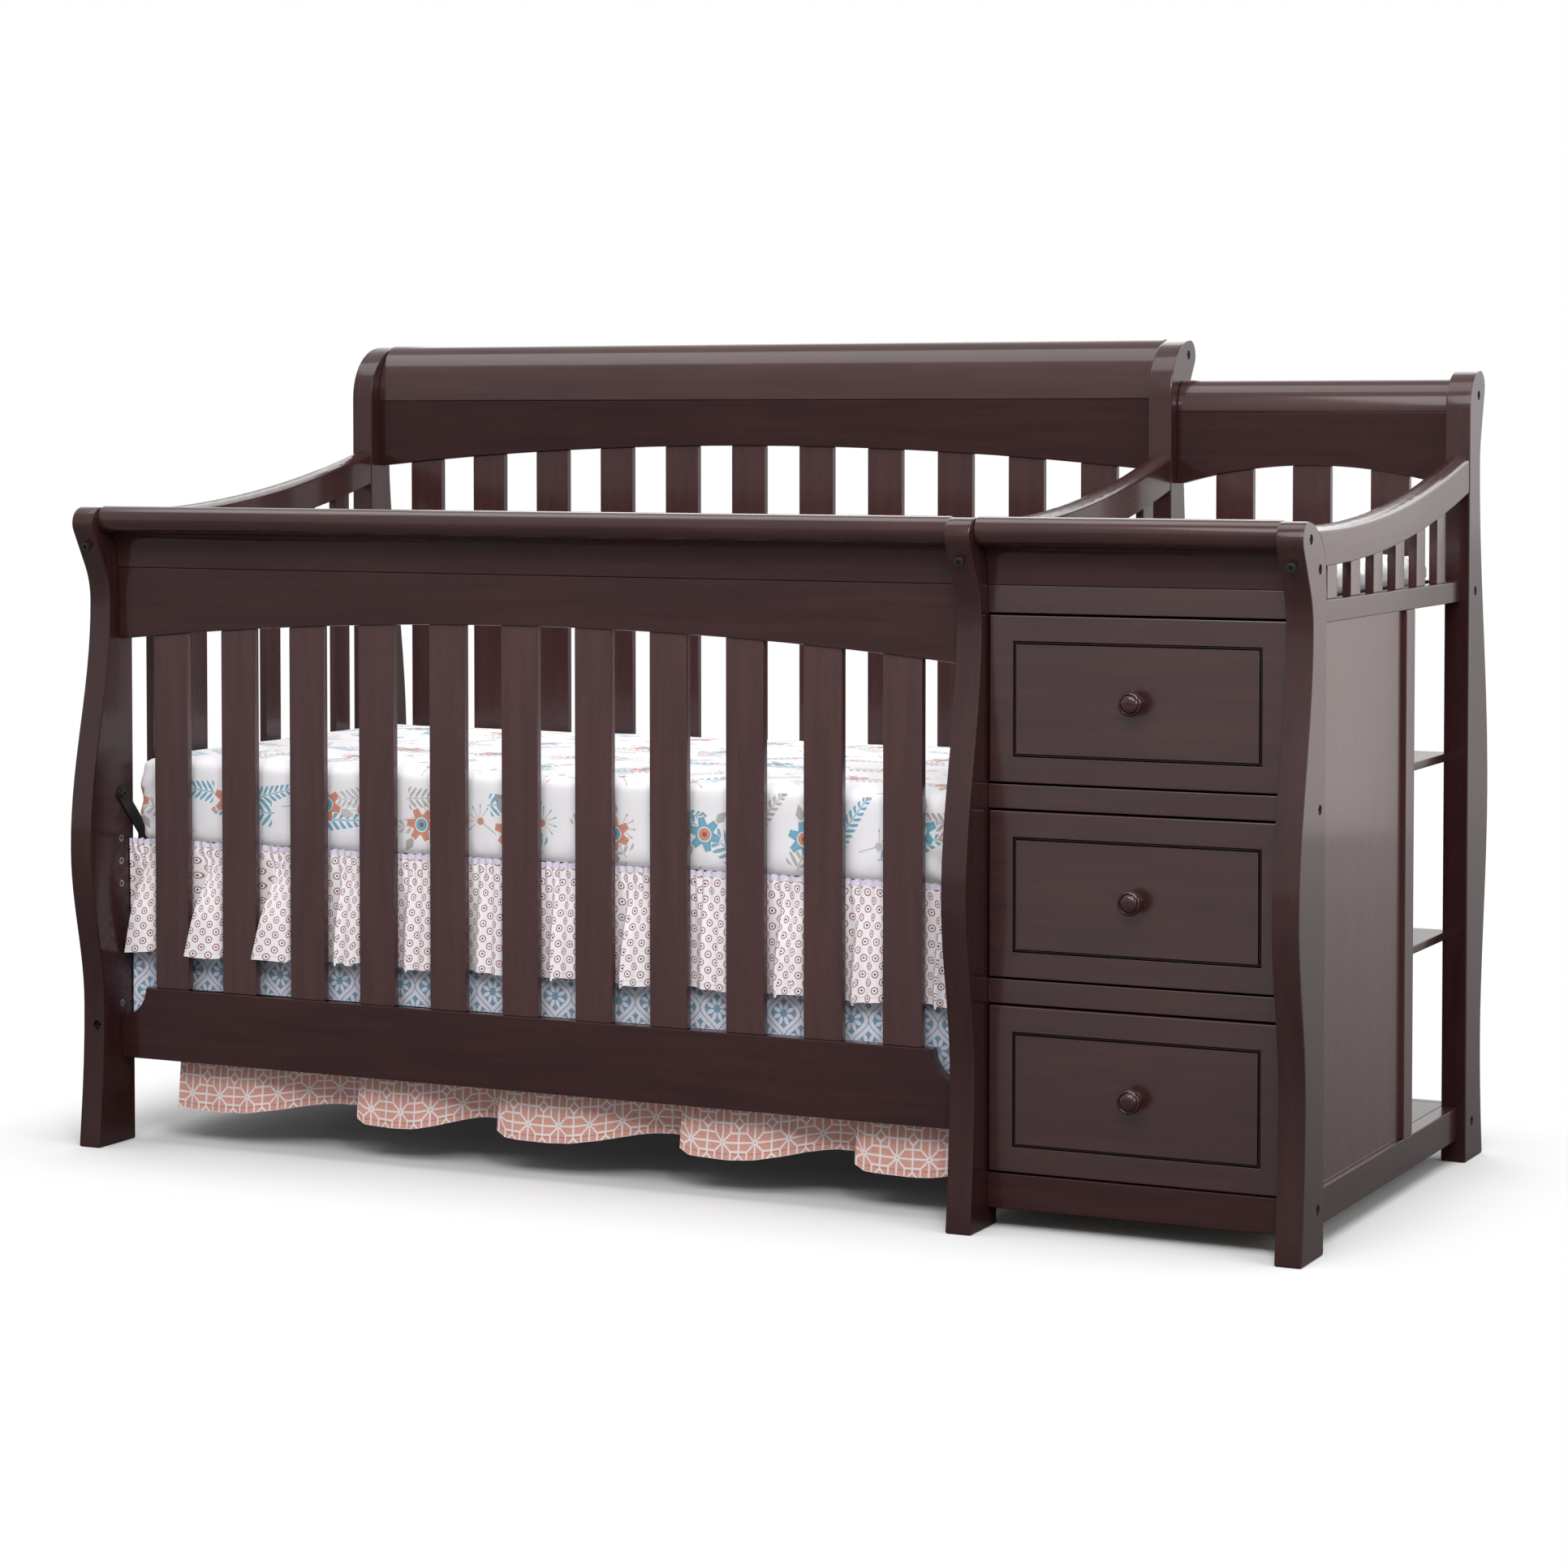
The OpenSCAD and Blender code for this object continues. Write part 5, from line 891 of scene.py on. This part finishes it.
def makeSkirt():
    s = skirt
    topStrips, middleStrips, bottomStrips = [topTierFront(26)], [], []
    for number, (run, stand) in enumerate(sides(0)):
        if number:
            topStrips.append(stand(plainTier(run, 14, int(run / s["topCell"]), s["top"], s["topHem"], 0.0012, 0.105, 1,
                                             1.3 * (number - 1) + 0.4)))
        tier = plainTier(run, 12, int(run / s["middleCell"]), s["middleTop"], s["middleHem"], s["middleOut"], 0.116,
                         0.4, 0.9 * number)
        if number == 0:  # the left end comes forward to meet the post
            tier[..., 1] = s["postOut"] + (tier[..., 1] - s["postOut"]) * ease(0, 0.04, tier[..., 0])
        middleStrips.append(stand(tier))
    for number, (run, stand) in enumerate(sides(s["lowInset"])):
        if number == 0:
            breaks = [b - (s["left"] + s["corner"] + s["lowInset"]) for b in s["breaks"]]
        else:
            breaks = [-0.05 + 0.27 * k for k in range(7)]
        bottomStrips.append(stand(broadTier(run, 12, int(run / s["bottomCell"]), breaks)))
    for name, strips, pattern, rests in (("skirt_top_tier", topStrips, ringDot, "spring_frame"),
                                         ("skirt_middle_tier", middleStrips, ogee, "skirt_top_tier"),
                                         ("skirt_bottom_tier", bottomStrips, starLattice, "skirt_middle_tier")):
        piece, flatLength, flatHeight = clothPiece(name, strips, pattern, s["cloth"])
        print(name, "flat", round(flatLength, 3), round(flatHeight, 3))
        if name == "skirt_top_tier":
            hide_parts("bed_skirt")
    x0, x1 = s["left"] + s["deckMargin"], s["right"] - s["deckMargin"]
    y0, y1 = s["front"] + 0.001, s["back"] - 0.001
    across, down = np.meshgrid(np.linspace(x0, x1, 60), np.linspace(y0, y1, 32))
    up = s["deckHeight"] + 0.0002 * np.sin(across * 40) * np.sin(down * 37)
    deck = clothPiece("skirt_deck", [np.stack([across, down, up], 2)[::-1]], deckMuslin, s["deckCloth"])[0]
    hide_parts("bed_skirt")


makeSkirt()
print("skirt hung")


# padded pieces

clothLook = {"quality": 4, "use_pressure": True, "tension_stiffness": 20, "compression_stiffness": 20,
             "bending_stiffness": 1.5}
mattressLook = {"voxel": 0.012, "shrink": 0.0010, "cap": 0.0040, "pressure": 4.0, "steps": 20, "fill": 0.85,
                "slack": (0.0065, 0.001), "corner": 0.020, "edge": 0.017}
padLook = {"voxel": 0.006, "shrink": 0.0040, "cap": 0.0060, "pressure": 4.0, "steps": 20, "fill": 0.6,
           "slack": (0.003, 0.003), "channel": 0.062, "channelDepth": 0.0035, "channelWidth": 0.0065,
           "seamWidth": 0.0022}


def readSpots(mesh, kind="co"):
    spots = np.zeros(len(mesh.vertices) * 3)
    mesh.vertices.foreach_get(kind, spots)
    return spots.reshape(-1, 3)


def writeSpots(mesh, spots):
    mesh.vertices.foreach_set("co", spots.ravel())
    mesh.update()


def mattressBlank(name):  # a box with rounded corners and edges
    look = mattressLook
    low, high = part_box("mattress")
    bpy.ops.object.select_all(action="DESELECT")
    bpy.ops.mesh.primitive_cube_add(size=1, location=(low + high) / 2)
    piece = bpy.context.object
    piece.name = name
    piece.scale = high - low + Vector((2 * look["slack"][0], 0, 0))
    bpy.ops.object.transform_apply(location=True, rotation=True, scale=True)
    for upright, radius, segments in ((True, look["corner"], 6), (False, look["edge"], 4)):

        def wanted(edge):
            bottom, top = sorted(piece.data.vertices[i].co.z for i in edge.vertices)
            return top - bottom > 0.01 if upright else top - bottom < 0.001

        editChosen(piece, "EDGE", wanted)
        bpy.ops.mesh.bevel(offset=radius, segments=segments)
        setMode("OBJECT")
    return piece


def puffed(piece, nodeName, look):  # cloth under pressure, its growth capped
    low, high = (np.array(corner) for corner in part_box(nodeName))
    middle = (low + high) / 2
    writeSpots(piece.data, middle + (readSpots(piece.data) - middle) * (1 - 2 * look["shrink"] / (high - low)))
    applyModifier(piece, "REMESH", {"mode": "VOXEL", "voxel_size": look["voxel"]})
    start = readSpots(piece.data)
    cloth = piece.modifiers.new("cloth", "CLOTH")
    for key, value in {**clothLook, "uniform_pressure_force": look["pressure"]}.items():
        setattr(cloth.settings, key, value)
    cloth.settings.effector_weights.gravity = 0
    cloth.collision_settings.use_collision = False
    cloth.point_cache.frame_end = look["steps"]
    for step in range(1, look["steps"] + 1):
        bpy.context.scene.frame_set(step)
    travel = readSpots(piece.evaluated_get(bpy.context.evaluated_depsgraph_get()).data) - start
    distance = np.linalg.norm(travel, axis=1, keepdims=True)
    travel *= np.minimum(1, look["cap"] / np.maximum(distance, 1e-9))
    piece.modifiers.remove(cloth)
    bpy.context.scene.frame_set(1)
    writeSpots(piece.data, start + travel)
    applyModifier(piece, "SUBSURF", {"levels": 1, "render_levels": 1})


def unfold(piece, low, high):  # a face takes the flat cloth's place by the way it looks
    mesh = piece.data
    layer = mesh.uv_layers.new(name="cloth")
    uvs = np.zeros((len(mesh.loops), 2), np.float32)
    spots = readSpots(mesh)
    for face in mesh.polygons:
        nx, ny, nz = face.normal
        for loop in face.loop_indices:
            x, y, z = spots[mesh.loops[loop].vertex_index]
            if abs(nz) > 0.6:
                uvs[loop] = (x, y)
            elif abs(ny) > abs(nx):
                uvs[loop] = (x, (low.y - (high.z - z)) if ny < 0 else (high.y + (high.z - z)))
            else:
                uvs[loop] = ((low.x - (high.z - z)) if nx < 0 else (high.x + (high.z - z)), y)
    layer.data.foreach_set("uv", uvs.ravel())


def upholster(piece, nodeName, look, wrinkles, material):  # wrinkles says how far each spot moves out
    puffed(piece, nodeName, look)
    low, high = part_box(nodeName)
    spots, normals = readSpots(piece.data), readSpots(piece.data, "normal")
    spots = spots + normals * wrinkles(low, high, normals, *spots.T)[:, None]
    slackX, slackY = look["slack"]
    lowest, highest = np.array(low) - (slackX, slackY, 0), np.array(high) + (slackX, slackY, 0.004)
    writeSpots(piece.data, np.clip(spots, lowest, highest))
    unfold(piece, low, high)
    bpy.ops.object.shade_smooth()
    dress(piece, material, "crib_frame")
    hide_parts(nodeName)


def sheetWrinkles(low, high, normals, x, y, z):
    sideways = 1 - np.abs(normals[:, 2])
    hang = (high.z - z) / (high.z - low.z)
    run = x + y
    drags = 0.0011 * np.sin(run * 47 + 6 * hang + 2 * np.sin(run * 11)) * ease(0.15, 0.9, hang)
    tucks = 0.0016 * np.sin(run * 160 + 3 * np.sin(run * 21)) * ease(0.72, 1.0, hang)
    cornerNear = np.minimum(np.abs(x - low.x), np.abs(x - high.x)) \
        + np.minimum(np.abs(y - low.y), np.abs(y - high.y))
    corner = 0.0022 * np.sin(hang * 19 + cornerNear * 90) * np.exp(-(cornerNear / 0.075) ** 2)
    tops = 0.0007 * np.sin(x * 23 + 3 * np.sin(y * 9)) * np.sin(y * 17 + 1.2 * np.sin(x * 7)) * (normals[:, 2] > 0.5)
    return (drags + tucks) * sideways + corner + tops - 0.0008


def quilting(low, high, normals, x, y, z):
    pitch, width = padLook["channel"], padLook["channelWidth"]
    grooves = sum(np.exp(-((pitch / 2 - np.abs((run / pitch) % 1 - 0.5) * pitch) / width) ** 2)
                  for run in (x + y, x - y))
    upper = ease(0.2, 0.75, normals[:, 2])
    seam = np.exp(-((z - low.z - 0.30 * (high.z - low.z)) / padLook["seamWidth"]) ** 2) * (1 - np.abs(normals[:, 2]))
    return -padLook["channelDepth"] * np.minimum(grooves, 1.2) * upper + 0.0016 * seam


upholster(mattressBlank("mattress_sheeted"), "mattress", mattressLook, sheetWrinkles, meadow)
print("mattress puffed")
upholster(cleanCopy("changing_pad", "changing_pad_quilted"), "changing_pad", padLook, quilting, padCotton)
print("pad quilted")

# stage

stageLook = {"nearFloor": 0.20, "farFloor": 0.80, "paper": 0.77, "white": 1.0, "clear": 0.0, "far": 0.26,
             "ambient": 0.50}


def makeFloor():
    bpy.ops.object.select_all(action="DESELECT")
    bpy.ops.mesh.primitive_grid_add(x_subdivisions=8, y_subdivisions=8, size=60, location=(0, 0, 0))
    floor = bpy.context.object
    floor.name = "floor"
    finish = Finish("floorPaper", {"Roughness": 0.9, "Specular IOR Level": 0.1})
    place = finish.node("ShaderNodeTexCoord", output="Object")
    x, y = finish.parts(place, 2)
    outside = length((abs(x) - cadBox[1][0]) | 0, (abs(y) - cadBox[1][1]) | 0)
    away = outside.fade(stageLook["clear"], stageLook["far"])
    camera = finish.node("ShaderNodeLightPath", output="Is Camera Ray")
    paper = finish.mix(finish.noise(place, 3), (stageLook["paper"] * 0.98,) * 3, (stageLook["paper"],) * 3)
    distance = length(x, y).fade(0.8, 7.0)  # bounced light sees a floor that pales with distance
    bounced = finish.mix(distance, (stageLook["nearFloor"],) * 3, (stageLook["farFloor"],) * 3)
    finish.put("Base Color", finish.mix(camera, bounced, paper))
    glow = finish.node("ShaderNodeEmission", {}, {"Color": (1.0, 1.0, 1.0), "Strength": stageLook["white"]})
    lit = Signal(finish, finish.shader.outputs[0])
    joined = finish.node("ShaderNodeMixShader", {}, {0: away * camera, 1: lit, 2: glow})
    finish.tree.links.new(joined.socket, finish.tree.nodes["Material Output"].inputs["Surface"])
    floor.data.materials.append(finish.material)


def makeWorld():
    world = bpy.data.worlds.new("studio")
    bpy.context.scene.world = world
    world.use_nodes = True
    nodes, link = world.node_tree.nodes, world.node_tree.links.new
    plain, white = nodes["Background"], nodes.new("ShaderNodeBackground")
    for background, strength in ((plain, stageLook["ambient"]), (white, stageLook["white"])):
        background.inputs["Color"].default_value = (1, 1, 1, 1)
        background.inputs["Strength"].default_value = strength
    path = nodes.new("ShaderNodeLightPath")
    seen = path.outputs["Is Camera Ray"]
    for ray in ("Is Glossy Ray", "Is Transmission Ray"):
        added = nodes.new("ShaderNodeMath")
        added.operation, added.use_clamp = "ADD", True
        link(seen, added.inputs[0])
        link(path.outputs[ray], added.inputs[1])
        seen = added.outputs[0]
    mixed = nodes.new("ShaderNodeMixShader")
    for socket, source in enumerate((seen, plain.outputs[0], white.outputs[0])):
        link(source, mixed.inputs[socket])
    link(mixed.outputs[0], nodes["World Output"].inputs["Surface"])


def softbox(name, place, target, width, height, power, colour=(1.0, 1.0, 1.0)):
    lamp = bpy.data.lights.new(name, "AREA")
    lamp.shape, lamp.color = "RECTANGLE", colour
    lamp.size, lamp.size_y, lamp.energy = width, height, power
    holder = newPiece(name, lamp)
    holder.location = place
    holder.rotation_euler = (Vector(target) - Vector(place)).to_track_quat("-Z", "Y").to_euler()


def makeCamera():
    cameraLook = {"place": (2.3672, -4.9079, 1.0518), "yaw": 25.7, "pitch": 2.2, "lens": 87.11,
                  "shiftX": 0.0019, "shiftY": -0.1384}
    lens = bpy.data.cameras.new("studioCamera")
    lens.sensor_width, lens.lens = 36, cameraLook["lens"]
    lens.shift_x, lens.shift_y = cameraLook["shiftX"], cameraLook["shiftY"]
    lens.clip_start, lens.clip_end = 0.1, 100
    camera = newPiece("studioCamera", lens)
    yaw, pitch = math.radians(cameraLook["yaw"]), math.radians(cameraLook["pitch"])
    ahead = Vector((-math.sin(yaw) * math.cos(pitch), math.cos(yaw) * math.cos(pitch), -math.sin(pitch)))
    camera.location = cameraLook["place"]
    camera.rotation_euler = ahead.to_track_quat("-Z", "Y").to_euler()
    bpy.context.scene.camera = camera


makeFloor()
makeWorld()
softbox("overheadBox", (0.0, -0.4, 3.1), (0.0, -0.1, 0.6), 4.8, 1.3, 62)
softbox("backBox", (0.1, 2.2, 2.3), (0.0, 0.2, 0.95), 4.6, 1.5, 48)
softbox("frontBox", (0.9, -3.0, 3.0), (0.0, 0.0, 0.7), 3.0, 1.8, 92)
softbox("keyBox", (2.3, -3.6, 2.7), (0.3, 0.0, 0.6), 0.5, 0.5, 30)
softbox("sideBox", (4.2, -1.2, 2.0), (0.8, 0.0, 0.6), 2.0, 1.8, 40)
softbox("rearSideBox", (2.9, 3.4, 1.0), (0.9, 0.0, 0.6), 2.0, 1.9, 12, (1.0, 0.87, 0.84))
makeCamera()
bpy.context.scene.view_settings.view_transform = "Standard"
print("stage lit")
